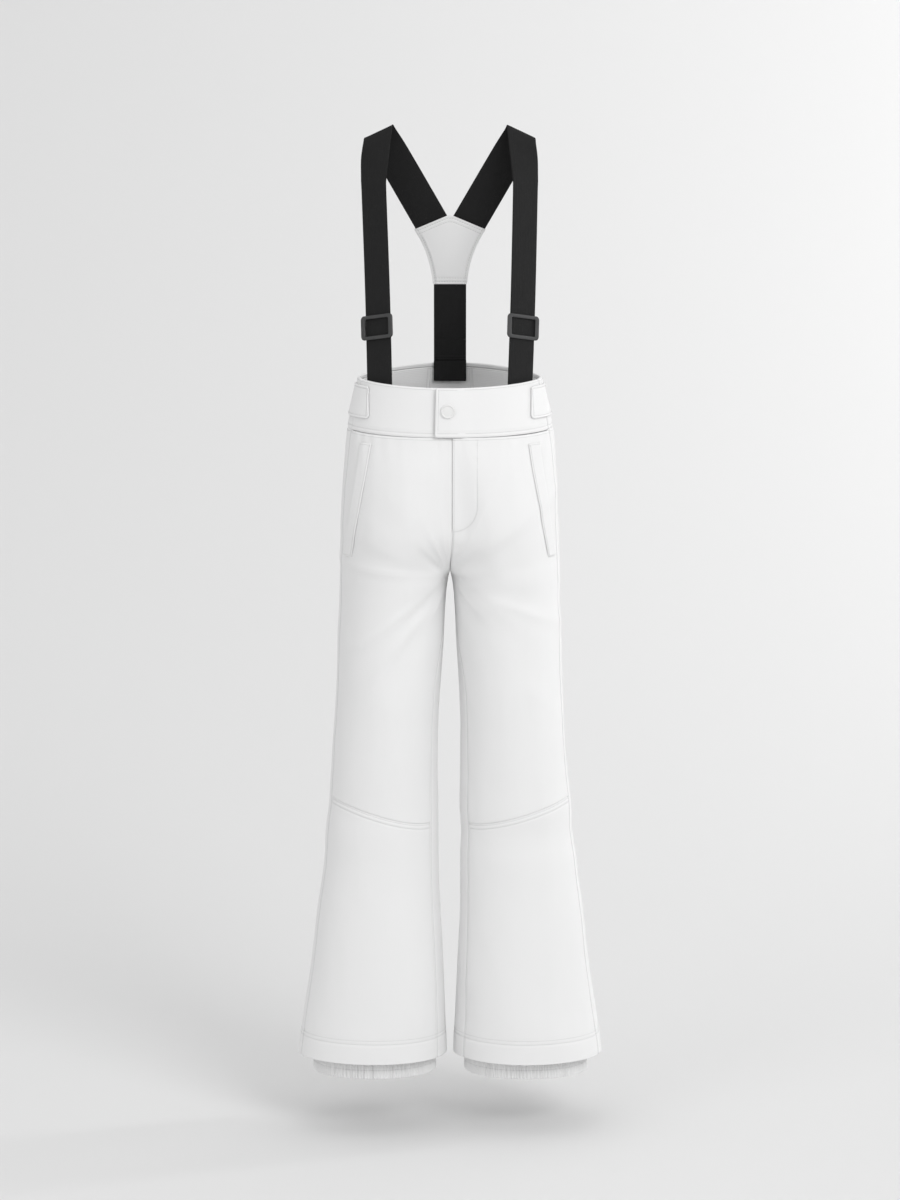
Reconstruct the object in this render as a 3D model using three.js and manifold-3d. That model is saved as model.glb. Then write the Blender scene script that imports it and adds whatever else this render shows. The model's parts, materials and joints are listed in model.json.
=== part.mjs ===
// Child's ski pants with Y-back suspenders: a flared pair of softshell trousers with a fitted
// waistband, a snap tab over a zipped fly, side adjusters, welt pockets and inner snow gaiters.
//
// Millimetres, +Z up. The origin is the centre of the waist opening. The front faces -Y and the
// wearer's left is +X. Every panel of cloth is a closed sheet laid on one surface of the body,
// which is given by a few measured sections of the hips and legs.

import * as THREE from "three";
import { mergeVertices } from "three/addons/utils/BufferGeometryUtils.js";
import Module from "manifold-3d";

// ---------------------------------------------------------------- driving dimensions

// Sections of one side: height, leg centre from the middle, half width, half depth, centre in Y.
const SECTIONS = [
  [-900, 99.8, 195.6, 71.4, 0],
  [-862, 98.3, 192.1, 70, 0],
  [-746, 91.8, 175.5, 66.5, 0],
  [-668, 89.4, 167.0, 64.6, 0],
  [-620, 86.8, 160.6, 64, 0],
  [-535, 83, 153, 66, 0],
  [-480, 80.8, 148.5, 69, 0],
  [-410, 78, 143.7, 73, 1],
  [-342, 75, 141.0, 78, 3],
  [-244, 69, 138, 86, 6],
  [-180, 55, 136, 99, 6],
  [-118, 36, 133, 95, 2],
  [-62, 12, 127.5, 86, 0],
  [0, 0.5, 114, 80, 0],
  [12, 0.5, 112, 78.8, 0],
];
const CROTCH_Z = -244;
const CROTCH_BEND_Z = -184; // where the centre seam starts to curve under
const SEAT_DIP = 0.9; // depth at the centre seam over full depth, where it starts to bend
const SEAT_DIP_RISE = 122; // height over which the centre seam comes out to full depth

const CLOTH = 2.4; // outer panel thickness
const LINING = 1.2; // facings, patches and tapes
const SEAM_GAP = 0.3; // half the gap left between neighbouring panels
const SEAM_TURN = 0.22; // the same gap as an angle round a leg, in degrees
const SIDE_SEAM_TURN = 17; // side seam, degrees forward of the outer side
const INSEAM_TURN = 150; // inseam, degrees from the outer side, round the front
const INSEAM_SETTLE_Z = -400;
const FLY_X = 3; // the fly line is this far to the wearer's left
const FLY_END_Z = -184;

const BAND_BOTTOM_Z = -62;
const BAND_FRONT_DROP = 3; // the band's lower edge dips at the front
const RIM_FRONT_DROP = 5;
const RIM_BACK_RISE = 9;

const KNEE_Z = -545;
const KNEE_SEAM_Z = [-528, -559]; // at the side seam and at the inseam
const KNEE_FLEX = 60; // degrees
const KNEE_GAP = 1.5;
const CREASE_GAP = 0.8;
const HEM_TOP_Z = -833.5;
const HEM_Z = -863;

const TAB_ROOT_X = 14;
const TAB_END_X = -17.3;
const TAB_LIFT = 2.3; // the tab lies this far proud of the band under it
const TAB_THICK = 2.2;
const TAB_STEP = 9; // length over which the tab steps up
const TAB_CORNER = 7;
const SNAP = { x: -2.7, z: -33, radius: 8.8 };

const ZIP = { y: -70.5, top: -70, bottom: -180, pitch: 5, halfThick: 1.6 };
const SLIDER = { length: 12, halfWidth: 5, plate: 1.2 };

const ADJUSTER = { frontX: 99, rearTurn: -4, top: -8, bottom: -46, slant: 5 };
const WEBBING = { width: 40, thick: 1.8 };
const STRAP_FOOT = new THREE.Vector3(86.0, -42, -12);
const STRAP_HEAD = new THREE.Vector3(93.8, 14, 240);
const STRAP_TURN = 41; // degrees that a front strap's face turns outwards
const STRAP_OVER = [
  [94.7, 21.5, 272],
  [92.6, 27.6, 294],
  [88.4, 32.4, 302.5],
  [83.0, 36.4, 297],
  [72.0, 41.6, 275],
];
const STRAP_END = new THREE.Vector3(26.0, 59.0, 187.6);
const BUCKLE = { height: 64, width: 51, length: 30, bar: 4.4, depth: 2.2, corner: 5 };
const YOKE = { topOuter: [44, 177], topInner: [5, 193.6], foot: [21, 109], thick: 3 };
const BACK_STRAP_TOP = new THREE.Vector3(0, 64.6, 108);
const BACK_STRAP_FOOT = new THREE.Vector3(0, 73.0, 12.4);
const BACK_ANCHOR_Z = [11.8, -14];
const LAP_Z = 39;

const GAITER = { top: -792, bottom: -886, centre: 96.5, rx: 79, ry: 56, topRx: 77, topRy: 60 };
const RING_SEGMENTS = 28;

// ---------------------------------------------------------------- the body surface

const radians = THREE.MathUtils.degToRad;
const lerp = THREE.MathUtils.lerp;
const clamp = THREE.MathUtils.clamp;
const smooth = (t) => THREE.MathUtils.smoothstep(t, 0, 1);
const SIDES = [["left", 1], ["right", -1]];

const sectionCurve = new THREE.CubicInterpolant(
  SECTIONS.map((row) => row[0]),
  SECTIONS.flatMap((row) => row.slice(1)),
  4,
  new Float64Array(4),
);

function section(z) {
  const [centre, halfWidth, halfDepth, y] = sectionCurve.evaluate(z);
  return { centre, halfWidth, halfDepth, y };
}

// Depth of the centre front or back seam, as a share of the full depth at that height.
function seamShare(z) {
  if (z <= CROTCH_Z) return 0;
  if (z <= CROTCH_BEND_Z) {
    const t = (CROTCH_BEND_Z - z) / (CROTCH_BEND_Z - CROTCH_Z);
    return SEAT_DIP * Math.sqrt(1 - t * t);
  }
  return lerp(SEAT_DIP, 1, smooth((z - CROTCH_BEND_Z) / SEAT_DIP_RISE));
}

// How far the inner part of a section is rounded like a leg rather than laid flat.
function legShare(z) {
  return clamp((CROTCH_BEND_Z - z) / (CROTCH_BEND_Z - CROTCH_Z), 0, 1) ** 3;
}

// A point on one side of the trousers. turn is 0 at the outer side, 90 at the front and -90 at
// the back. inset goes inwards. seamX is where the panel ends at the centre front or back.
function legPoint(side, turn, z, inset, seamX = SEAM_GAP) {
  const s = section(z);
  const c = Math.cos(radians(turn));
  const n = Math.sin(radians(turn));
  const outerRadius = s.halfWidth - s.centre - inset;
  const depth = s.halfDepth - inset;
  if (c >= 0) return [side * (s.centre + outerRadius * c), s.y - depth * n, z];
  const innerRadius = Math.min(s.centre - seamX, outerRadius);
  const floor = Math.max(0, s.halfDepth * seamShare(z) - inset);
  const flat = (1 - Math.cos(Math.PI * (1 + c))) / 2;
  const rise = lerp(flat, Math.abs(n), legShare(z));
  const y = floor + (depth - floor) * rise;
  return [side * (s.centre + innerRadius * c), s.y - Math.sign(n || 1) * y, z];
}

// A point on the waistband. turn is 0 at the side and 90 at the centre front.
function bandPoint(side, turn, z, inset) {
  const s = section(z);
  const x = (s.halfWidth - inset) * Math.cos(radians(turn));
  const out = Math.max(0, Math.abs(x) - s.centre) / (s.halfWidth - s.centre - inset);
  const depth = (s.halfDepth - inset) * Math.sqrt(Math.max(0, 1 - out * out));
  return [side * x, s.y - Math.sign(Math.sin(radians(turn)) || 1) * depth, z];
}

const bandTurnAt = (x, z, inset) => THREE.MathUtils.radToDeg(
  Math.acos(clamp(x / (section(z).halfWidth - inset), -1, 1)),
);

function rimZ(turn) {
  const n = Math.sin(radians(turn));
  return n > 0 ? -RIM_FRONT_DROP * n * n : RIM_BACK_RISE * n * n;
}

function bandFootZ(turn) {
  const n = Math.max(0, Math.sin(radians(Math.min(turn, 90))));
  return BAND_BOTTOM_Z - BAND_FRONT_DROP * n * n;
}

// The line where thigh and shin meet. Behind the leg it opens as a wedge, so that the knee bends.
function kneeLine(turn, part) {
  const angle = ((turn % 360) + 360) % 360;
  const gap = part * KNEE_GAP;
  if (angle > 180) {
    const back = -section(KNEE_Z).halfDepth * Math.sin(radians(angle));
    return KNEE_Z + gap + part * back * Math.tan(radians(KNEE_FLEX / 2));
  }
  const [outer, inner] = KNEE_SEAM_Z;
  const front = part * SEAM_GAP * 1.4;
  if (angle < SIDE_SEAM_TURN) {
    const t = angle / SIDE_SEAM_TURN;
    return lerp(KNEE_Z + gap, outer + front, t);
  }
  if (angle > INSEAM_TURN) {
    const t = (angle - INSEAM_TURN) / (180 - INSEAM_TURN);
    return lerp(inner + front, KNEE_Z + gap, t);
  }
  const t = (angle - SIDE_SEAM_TURN) / (INSEAM_TURN - SIDE_SEAM_TURN);
  return lerp(outer, inner, smooth(t)) + front;
}

// ---------------------------------------------------------------- shape helpers

const group = new THREE.Group();

const FINISHES = {
  softshell: { color: 0xf1f2f2, roughness: 0.86, metalness: 0 },
  lining: { color: 0xcfd2d3, roughness: 0.9, metalness: 0 },
  taffeta: { color: 0xe9ebec, roughness: 0.6, metalness: 0 },
  webbing: { color: 0x262628, roughness: 0.9, metalness: 0 },
  plastic: { color: 0x37383a, roughness: 0.45, metalness: 0 },
  enamel: { color: 0xf4f4f2, roughness: 0.35, metalness: 0.1 },
  steel: { color: 0xb9bcbf, roughness: 0.35, metalness: 1 },
  patch: { color: 0xe4e5e6, roughness: 0.95, metalness: 0 },
};

function add(name, geometry, finish) {
  const mesh = new THREE.Mesh(geometry, new THREE.MeshStandardMaterial(FINISHES[finish]));
  mesh.name = name;
  group.add(mesh);
  return mesh;
}

// Turns the triangles round if the closed surface encloses a negative volume.
function facesOut(geometry) {
  const position = geometry.getAttribute("position");
  const index = geometry.getIndex();
  const corner = [new THREE.Vector3(), new THREE.Vector3(), new THREE.Vector3()];
  let volume = 0;
  for (let i = 0; i < index.count; i += 3) {
    corner.forEach((v, k) => v.fromBufferAttribute(position, index.getX(i + k)));
    volume += corner[0].dot(corner[1].clone().cross(corner[2]));
  }
  if (volume < 0) {
    for (let i = 0; i < index.count; i += 3) {
      const first = index.getX(i);
      index.setX(i, index.getX(i + 1));
      index.setX(i + 1, first);
    }
  }
  geometry.computeVertexNormals();
  return geometry;
}

// A closed sheet: across and down run from 0 to 1, and depth is 0 outside and 1 inside.
function sheet(columns, rows, point) {
  const geometry = new THREE.BoxGeometry(1, 1, 1, columns, rows, 1);
  const position = geometry.getAttribute("position");
  for (let i = 0; i < position.count; i += 1) {
    const across = position.getX(i) + 0.5;
    const down = 0.5 - position.getY(i);
    const depth = 0.5 - position.getZ(i);
    position.setXYZ(i, ...point(across, down, depth));
  }
  return facesOut(geometry);
}

// A closed ring: turn goes round in degrees, down and depth run from 0 to 1.
function ring(rows, point) {
  const outline = [];
  for (let row = 0; row <= rows; row += 1) outline.push(new THREE.Vector2(2, row / rows));
  for (let row = rows; row >= 0; row -= 1) outline.push(new THREE.Vector2(1, row / rows));
  outline.push(outline[0].clone());
  const geometry = new THREE.LatheGeometry(outline, RING_SEGMENTS);
  const position = geometry.getAttribute("position");
  const step = 360 / RING_SEGMENTS;
  for (let i = 0; i < position.count; i += 1) {
    const x = position.getX(i);
    const z = position.getZ(i);
    const around = Math.round(THREE.MathUtils.radToDeg(Math.atan2(x, z)) / step);
    const turn = ((around + RING_SEGMENTS) % RING_SEGMENTS) * step;
    const depth = Math.round(2 - Math.hypot(x, z));
    position.setXYZ(i, ...point(turn, position.getY(i), depth));
  }
  return facesOut(geometry);
}

// A flat band along stations of centre and width direction, each at right angles to the path.
function ribbon(stations, width, thick) {
  const frames = stations.map((station, i) => {
    const before = stations[Math.max(0, i - 1)].centre;
    const after = stations[Math.min(stations.length - 1, i + 1)].centre;
    const along = after.clone().sub(before).normalize();
    const across = station.across.clone();
    across.addScaledVector(along, -across.dot(along)).normalize();
    return { centre: station.centre, across, face: across.clone().cross(along).normalize() };
  });
  return sheet(1, stations.length - 1, (u, v, d) => {
    const frame = frames[Math.round(v * (stations.length - 1))];
    return frame.centre.clone()
      .addScaledVector(frame.across, (u - 0.5) * width)
      .addScaledVector(frame.face, (0.5 - d) * thick)
      .toArray();
  });
}

const rowsOf = (rows, down) => rows[Math.round(down * (rows.length - 1))];

// Height of a row of a panel whose first or last row follows a line instead.
function rowZ(rows, down, first, last) {
  if (down < 1e-6) return first;
  if (down > 1 - 1e-6) return last;
  return rowsOf(rows, down);
}

// ---------------------------------------------------------------- trouser panels

const THIGH_ROWS = [0, -95, -130, -165, -192, -212, -228, -239, -246, -262, -300, -350, -410, -465, 0];
const SHIN_ROWS = [0, -612, -660, -705, -750, -795, 0];

function inseamTurn(z) {
  const t = (CROTCH_Z - z) / (CROTCH_Z - INSEAM_SETTLE_Z);
  return lerp(180, INSEAM_TURN, smooth(t));
}

// The fly runs beside the middle, and the seam under it swings back to the middle.
function flyShift(z) {
  const t = (z - CROTCH_Z) / (FLY_END_Z - CROTCH_Z);
  return FLY_X * smooth(t);
}

function panelTurn(face, z, across) {
  const inner = inseamTurn(z) - SEAM_TURN;
  if (face === "front") return lerp(SIDE_SEAM_TURN + SEAM_TURN, inner, across);
  return lerp(SIDE_SEAM_TURN - SEAM_TURN, inseamTurn(z) - 360 + SEAM_TURN, across);
}

function thighPanel(side, face, columns) {
  return sheet(columns, THIGH_ROWS.length - 1, (u, v, d) => {
    const topTurn = panelTurn(face, BAND_BOTTOM_Z, u);
    const footTurn = panelTurn(face, KNEE_Z, u);
    const z = rowZ(THIGH_ROWS, v, bandFootZ(topTurn) - 0.6, kneeLine(footTurn, 1));
    const seamX = face === "front" ? SEAM_GAP + side * flyShift(z) : SEAM_GAP;
    return legPoint(side, panelTurn(face, z, u), z, d * CLOTH, seamX);
  });
}

function shinPanel(side, face, columns) {
  return sheet(columns, SHIN_ROWS.length - 1, (u, v, d) => {
    const z = rowZ(SHIN_ROWS, v, kneeLine(panelTurn(face, KNEE_Z, u), -1), HEM_TOP_Z);
    return legPoint(side, panelTurn(face, z, u), z, d * CLOTH);
  });
}

// The folded cloth behind the knee fills the wedge that the bend closes.
function kneeCrease(side) {
  return sheet(12, 1, (u, v, d) => {
    const turn = lerp(-3, -177, u);
    const z = v < 0.5 ? kneeLine(turn, 1) - CREASE_GAP : kneeLine(turn, -1) + CREASE_GAP;
    return legPoint(side, turn, z, d * CLOTH);
  });
}

for (const [label, side] of SIDES) {
  add(`front_thigh_${label}`, thighPanel(side, "front", 12), "softshell");
  add(`back_thigh_${label}`, thighPanel(side, "back", 14), "softshell");
  add(`knee_crease_${label}`, kneeCrease(side), "softshell");
  add(`front_shin_${label}`, shinPanel(side, "front", 10), "softshell");
  add(`back_shin_${label}`, shinPanel(side, "back", 12), "softshell");
  add(`hem_band_${label}`, ring(1, (turn, v, d) => {
    const z = lerp(HEM_TOP_Z - 0.5, HEM_Z, v);
    return legPoint(side, turn, z, d * CLOTH);
  }), "softshell");
}

// ---------------------------------------------------------------- waistband and its fastenings

const BAND_SIDE_TURN = 16.5;
const FACING_INSET = CLOTH + 0.35;

function bandSheet(side, columns, startTurn, endTurn, from, thick, trim) {
  return sheet(columns, 2, (u, v, d) => {
    const inset = from + d * thick;
    const middle = lerp(startTurn, endTurn(BAND_BOTTOM_Z / 2, 0), u);
    const z = lerp(rimZ(middle) - trim, bandFootZ(middle) + trim, v);
    return bandPoint(side, lerp(startTurn, endTurn(z, inset), u), z, inset);
  });
}

for (const [label, side] of SIDES) {
  const edgeX = side > 0 ? TAB_ROOT_X + 0.6 : -FLY_X - 1;
  const frontEnd = (z, inset) => bandTurnAt(edgeX, z, inset);
  const facingEnd = (z, inset) => bandTurnAt(edgeX + 1, z, inset);
  add(`waistband_front_${label}`, bandSheet(side, 9, BAND_SIDE_TURN, frontEnd, 0, CLOTH, 0), "softshell");
  add(
    `facing_front_${label}`,
    bandSheet(side, 9, BAND_SIDE_TURN, facingEnd, FACING_INSET, LINING, 1),
    "lining",
  );
}

const BACK_START = BAND_SIDE_TURN - 0.4;
const backEnd = () => -180 - BACK_START;
add("waistband_back", bandSheet(1, 20, BACK_START, backEnd, 0, CLOTH, 0), "softshell");
add("facing_back", bandSheet(1, 20, BACK_START, backEnd, FACING_INSET, LINING, 1), "lining");

// A patch or tab on the waistband between two turns, with its corners rounded at the far end.
function bandTab({ side, from, to, z, inset, thick, corner = 0, slant = 0, columns = 8 }) {
  const end = new THREE.Vector3(...bandPoint(side, to, z[0], 0));
  return sheet(columns, 2, (u, v, d) => {
    const turn = lerp(from, to, u);
    const here = new THREE.Vector3(...bandPoint(side, turn, z[0], 0));
    const short = Math.max(0, corner - here.distanceTo(end));
    const cut = corner - Math.sqrt(corner ** 2 - short ** 2);
    const height = lerp(z[0] - cut, z[1] + cut, v);
    return bandPoint(side, turn + slant * (v - 0.5) * u, height, inset + d * thick);
  });
}

// The front tab starts flush with the band on its own side and steps up over the other side.
add("waist_tab", sheet(14, 2, (u, v, d) => {
  const x = lerp(TAB_ROOT_X, TAB_END_X, u);
  const short = Math.max(0, TAB_CORNER - (x - TAB_END_X));
  const cut = TAB_CORNER - Math.sqrt(TAB_CORNER ** 2 - short ** 2);
  const top = -RIM_FRONT_DROP - cut;
  const z = lerp(top, BAND_BOTTOM_Z - BAND_FRONT_DROP + cut, v);
  const inset = d * TAB_THICK - (TAB_LIFT + TAB_THICK) * smooth((TAB_ROOT_X - x) / TAB_STEP);
  return bandPoint(1, bandTurnAt(x, z, 0), z, inset);
}), "softshell");

// Snap fastener: cap and socket on the tab, stud on the band below.
const snapBase = new THREE.Vector3(...bandPoint(1, bandTurnAt(SNAP.x, SNAP.z, 0), SNAP.z, 0));
const above = bandPoint(1, bandTurnAt(SNAP.x, SNAP.z + 20, 0), SNAP.z + 20, 0);
const below = bandPoint(1, bandTurnAt(SNAP.x, SNAP.z - 20, 0), SNAP.z - 20, 0);
const snapAxis = new THREE.Vector3(0, above[2] - below[2], -(above[1] - below[1]))
  .normalize()
  .negate();

function snapPiece(name, outline, lift, finish) {
  const points = outline.map(([radius, height]) => new THREE.Vector2(radius, height));
  const mesh = add(name, facesOut(new THREE.LatheGeometry(points, 16)), finish);
  mesh.quaternion.setFromUnitVectors(new THREE.Vector3(0, 1, 0), snapAxis);
  mesh.position.copy(snapBase).addScaledVector(snapAxis, lift);
}

const R = SNAP.radius;
const capLift = TAB_LIFT + TAB_THICK + 0.55;
snapPiece("snap_cap", [[0, 0], [R - 0.6, 0], [R, 0.6], [R - 0.3, 1.5], [R - 1.4, 2], [R - 2.6, 1.6],
  [0, 1.6]], capLift, "enamel");
snapPiece("snap_socket", [[2.5, 0], [5, 0], [5, 0.85], [2.5, 0.85], [2.5, 0]], 1.15, "steel");
snapPiece("snap_stud", [[0, 0], [5.5, 0], [5.5, 0.5], [2, 0.6], [2, 1.5], [1.6, 1.7], [0, 1.7]], 0.35, "steel");

// Side adjusters: each tab is sewn at its rear end and held by hook-and-loop at its front end.
for (const [label, side] of SIDES) {
  const front = bandTurnAt(ADJUSTER.frontX, (ADJUSTER.top + ADJUSTER.bottom) / 2, 0);
  const z = [ADJUSTER.top, ADJUSTER.bottom];
  const patchZ = [ADJUSTER.top - 4, ADJUSTER.bottom + 4];
  add(`side_tab_${label}`, bandTab({
    side, from: ADJUSTER.rearTurn, to: front, z, inset: -4.6, thick: 1.8, corner: 4, slant: ADJUSTER.slant,
  }), "softshell");
  add(`tab_hook_${label}`, bandTab({
    side, from: front - 17, to: front - 3, z: patchZ, inset: -2.4, thick: 0.8, columns: 4,
  }), "patch");
  add(`tab_loop_${label}`, bandTab({
    side, from: front - 34, to: front - 2, z: patchZ, inset: -1.25, thick: 0.8, columns: 6,
  }), "patch");
  add(`strap_loop_${label}`, bandTab({
    side, from: 30, to: 56, z: [-8, -44], inset: FACING_INSET + LINING + 0.4, thick: 0.9, columns: 5,
  }), "patch");
}

// ---------------------------------------------------------------- pockets

const WELT = { topX: 103, topZ: -76, footX: 126.5, footZ: -218, topWidth: 12.5, footWidth: 7 };
const BAG = { inX: 46, topZ: -84, footZ: -232, inset: 4.2, thick: 2 };

// The turn round a leg at which the front surface reaches a given x.
function turnAtX(x, z, inset) {
  const s = section(z);
  return THREE.MathUtils.radToDeg(Math.acos(clamp((x - s.centre) / (s.halfWidth - s.centre - inset), -1, 1)));
}

const weltX = (z) => lerp(WELT.topX, WELT.footX, (WELT.topZ - z) / (WELT.topZ - WELT.footZ));

for (const [label, side] of SIDES) {
  add(`pocket_welt_${label}`, sheet(2, 8, (u, v, d) => {
    const z = lerp(WELT.topZ, WELT.footZ, v);
    const x = weltX(z) + (u - 0.5) * lerp(WELT.topWidth, WELT.footWidth, v);
    const inset = -2.1 + d * 1.7;
    return legPoint(side, turnAtX(x, z, 0), z, inset);
  }), "softshell");
  add(`pocket_bag_${label}`, sheet(8, 7, (u, v, d) => {
    const z = lerp(BAG.topZ, BAG.footZ, v);
    const round = 34 * (1 - Math.sqrt(1 - Math.max(0, v * 2 - 1) ** 2));
    const x = lerp(weltX(z) - 3, BAG.inX + round, u);
    const s = section(z);
    const turn = x > s.centre
      ? turnAtX(x, z, 0)
      : 90 + THREE.MathUtils.radToDeg(Math.asin((s.centre - x) / (s.centre - SEAM_GAP)));
    return legPoint(side, turn, z, BAG.inset + d * BAG.thick);
  }), "taffeta");
}

// ---------------------------------------------------------------- fly and zip

// A comb of teeth on its cord, drawn as one outline and given the teeth's thickness.
function zipTeeth(side) {
  const outline = new THREE.Shape();
  const count = Math.floor((ZIP.top - ZIP.bottom) / ZIP.pitch);
  outline.moveTo(side * 3.4, ZIP.bottom);
  outline.lineTo(side * 3.4, ZIP.top);
  for (let i = 0; i < count; i += 1) {
    const z = ZIP.top - i * ZIP.pitch;
    outline.lineTo(side * 2.3, z);
    outline.lineTo(side * 2.3, z - 1.2);
    outline.lineTo(side * 0.7, z - 1.6);
    outline.lineTo(side * 0.7, z - 3.4);
    outline.lineTo(side * 2.3, z - 3.8);
  }
  outline.lineTo(side * 2.3, ZIP.bottom);
  const geometry = new THREE.ExtrudeGeometry(outline, { depth: 2 * ZIP.halfThick, bevelEnabled: false });
  return geometry.rotateX(Math.PI / 2).translate(FLY_X, ZIP.y + ZIP.halfThick, 0);
}

for (const [label, side] of SIDES) {
  add(`zip_teeth_${label}`, zipTeeth(side), "plastic");
  // The tape leaves the teeth and bends out to the inside of the front panel.
  add(`zip_tape_${label}`, sheet(5, 8, (u, v, d) => {
    const z = lerp(ZIP.top, ZIP.bottom - 4, v);
    const reach = lerp(3.7, 24, u);
    const x = reach + side * FLY_X;
    const s = section(z);
    const turn = 90 + THREE.MathUtils.radToDeg(Math.asin(clamp((s.centre - x) / s.centre, -1, 1)));
    const panelY = legPoint(side, turn, z, CLOTH + 1.6)[1];
    const y = lerp(ZIP.y - 0.5, panelY, smooth((u - 0.25) / 0.75));
    return [side * x, y + d, z];
  }), "lining");
}

const STOP_TOP = ZIP.bottom - 0.6;
const stop = new THREE.BoxGeometry(6.6, 2 * ZIP.halfThick, 4);
add("zip_stop", stop, "plastic").position.set(FLY_X, ZIP.y, STOP_TOP - 2);

// The zip slider's section: two plates joined by a thin post that parts the teeth.
function sliderOutline() {
  const w = SLIDER.halfWidth + 1;
  const inner = ZIP.halfThick + 0.5;
  const outer = inner + SLIDER.plate;
  const post = 0.4;
  const lip = 1;
  const shape = new THREE.Shape();
  const points = [
    [post, -inner], [w - 1, -inner], [w - 1, -lip], [w, -lip], [w, -outer], [-w, -outer], [-w, -lip],
    [-w + 1, -lip], [-w + 1, -inner], [-post, -inner], [-post, inner], [-w + 1, inner], [-w + 1, lip],
    [-w, lip], [-w, outer], [w, outer], [w, lip], [w - 1, lip], [w - 1, inner], [post, inner],
  ];
  points.forEach(([x, y], i) => (i ? shape.lineTo(x, y) : shape.moveTo(x, y)));
  shape.closePath();
  return shape;
}

const sliderBody = new THREE.ExtrudeGeometry(sliderOutline(), { depth: SLIDER.length, bevelEnabled: false });
add("zip_slider", sliderBody, "plastic").position.set(FLY_X, ZIP.y, ZIP.top - SLIDER.length);

const pullFace = ZIP.y - ZIP.halfThick - 0.5 - SLIDER.plate;
const pull = new THREE.Shape().absarc(0, 0, 3, 0, Math.PI).lineTo(-2, -12).lineTo(2, -12);
pull.closePath();
const pullBody = new THREE.ExtrudeGeometry(pull, { depth: 1.4, bevelEnabled: false, curveSegments: 6 });
add("zip_pull", pullBody.rotateX(Math.PI / 2), "plastic")
  .position.set(FLY_X, pullFace - 0.35, ZIP.top - 6);

const SHIELD = { halfWidth: 18, top: -68, bottom: -194, y: -66.2, thick: 1.4 };
add("fly_shield", sheet(2, 2, (u, v, d) => [
  FLY_X + lerp(-SHIELD.halfWidth, SHIELD.halfWidth, u) * (1 - 0.45 * v * v),
  SHIELD.y + d * SHIELD.thick,
  lerp(SHIELD.top, SHIELD.bottom, v),
]), "softshell");

// ---------------------------------------------------------------- suspenders

const wasm = await Module();
wasm.setup();

// The front strap: straight up the chest, over the shoulder and down across the back.
function strapStations(side) {
  const mirror = new THREE.Vector3(side, 1, 1);
  const turned = radians(STRAP_TURN);
  const front = new THREE.Vector3(Math.cos(turned), Math.sin(turned), 0);
  const over = new THREE.Vector3(0.88, 0.3, -0.37);
  const back = new THREE.Vector3(0.92, 0.02, -0.39);
  const path = new THREE.CatmullRomCurve3([
    STRAP_HEAD, ...STRAP_OVER.map((point) => new THREE.Vector3(...point)), STRAP_END,
  ]);
  const stations = [{ centre: STRAP_FOOT.clone(), across: front.clone() }];
  const count = 24;
  for (let i = 0; i <= count; i += 1) {
    const t = i / count;
    const across = t < 0.4
      ? front.clone().lerp(over, smooth(t / 0.4))
      : over.clone().lerp(back, smooth((t - 0.4) / 0.6));
    stations.push({ centre: path.getPoint(t), across });
  }
  stations.forEach((station) => {
    station.centre.multiply(mirror);
    station.across.multiply(mirror);
  });
  return stations;
}

const strapAlong = STRAP_HEAD.clone().sub(STRAP_FOOT).normalize();

// Axes of a front strap: across it, out of its face and along it.
function strapBasis(side) {
  const turned = radians(STRAP_TURN);
  const along = strapAlong.clone().multiply(new THREE.Vector3(side, 1, 1));
  const across = new THREE.Vector3(Math.cos(turned), side * Math.sin(turned), 0);
  across.addScaledVector(along, -across.dot(along)).normalize();
  const face = across.clone().cross(along).normalize();
  return new THREE.Matrix4().makeBasis(across, along, face);
}

function toManifold(geometry) {
  const plain = geometry.clone();
  plain.deleteAttribute("normal");
  plain.deleteAttribute("uv");
  const solid = mergeVertices(plain, 1e-4);
  return new wasm.Manifold(new wasm.Mesh({
    numProp: 3,
    vertProperties: new Float32Array(solid.getAttribute("position").array),
    triVerts: new Uint32Array(solid.getIndex().array),
  }));
}

function fromManifold(solid) {
  const mesh = solid.getMesh();
  const geometry = new THREE.BufferGeometry();
  geometry.setAttribute("position", new THREE.BufferAttribute(mesh.vertProperties, 3));
  geometry.setIndex(new THREE.BufferAttribute(mesh.triVerts, 1));
  geometry.computeVertexNormals();
  return geometry;
}

function roundedOutline(width, height, corner) {
  const w = width / 2 - corner;
  const h = height / 2 - corner;
  const shape = new THREE.Shape();
  shape.absarc(w, h, corner, 0, Math.PI / 2);
  shape.absarc(-w, h, corner, Math.PI / 2, Math.PI);
  shape.absarc(-w, -h, corner, Math.PI, Math.PI * 1.5);
  shape.absarc(w, -h, corner, Math.PI * 1.5, Math.PI * 2);
  shape.closePath();
  return shape;
}

// A three-bar adjuster: the strap passes behind its end bars and in front of its middle bar.
function buckle() {
  const { width, length, bar, depth, corner } = BUCKLE;
  const rail = (width - WEBBING.width) / 2 - 0.4;
  const clear = WEBBING.thick / 2 + 0.4;
  const outline = roundedOutline(width, length, corner);
  outline.holes.push(roundedOutline(width - 2 * rail, length - 2 * bar, 1.5));
  const options = { depth, bevelEnabled: false, curveSegments: 3 };
  const frame = toManifold(new THREE.ExtrudeGeometry(outline, options).translate(0, 0, clear));
  const middle = new THREE.BoxGeometry(width - 2 * rail + 1, bar, depth).translate(0, 0, -clear - depth / 2);
  let solid = frame.add(toManifold(middle));
  for (const [, side] of SIDES) {
    const tall = 2 * clear + depth + 0.5;
    const cheek = new THREE.BoxGeometry(rail - 0.4, bar, tall)
      .translate(side * (width / 2 - rail / 2), 0, clear + 0.5 - tall / 2);
    solid = solid.add(toManifold(cheek));
  }
  return fromManifold(solid);
}

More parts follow.
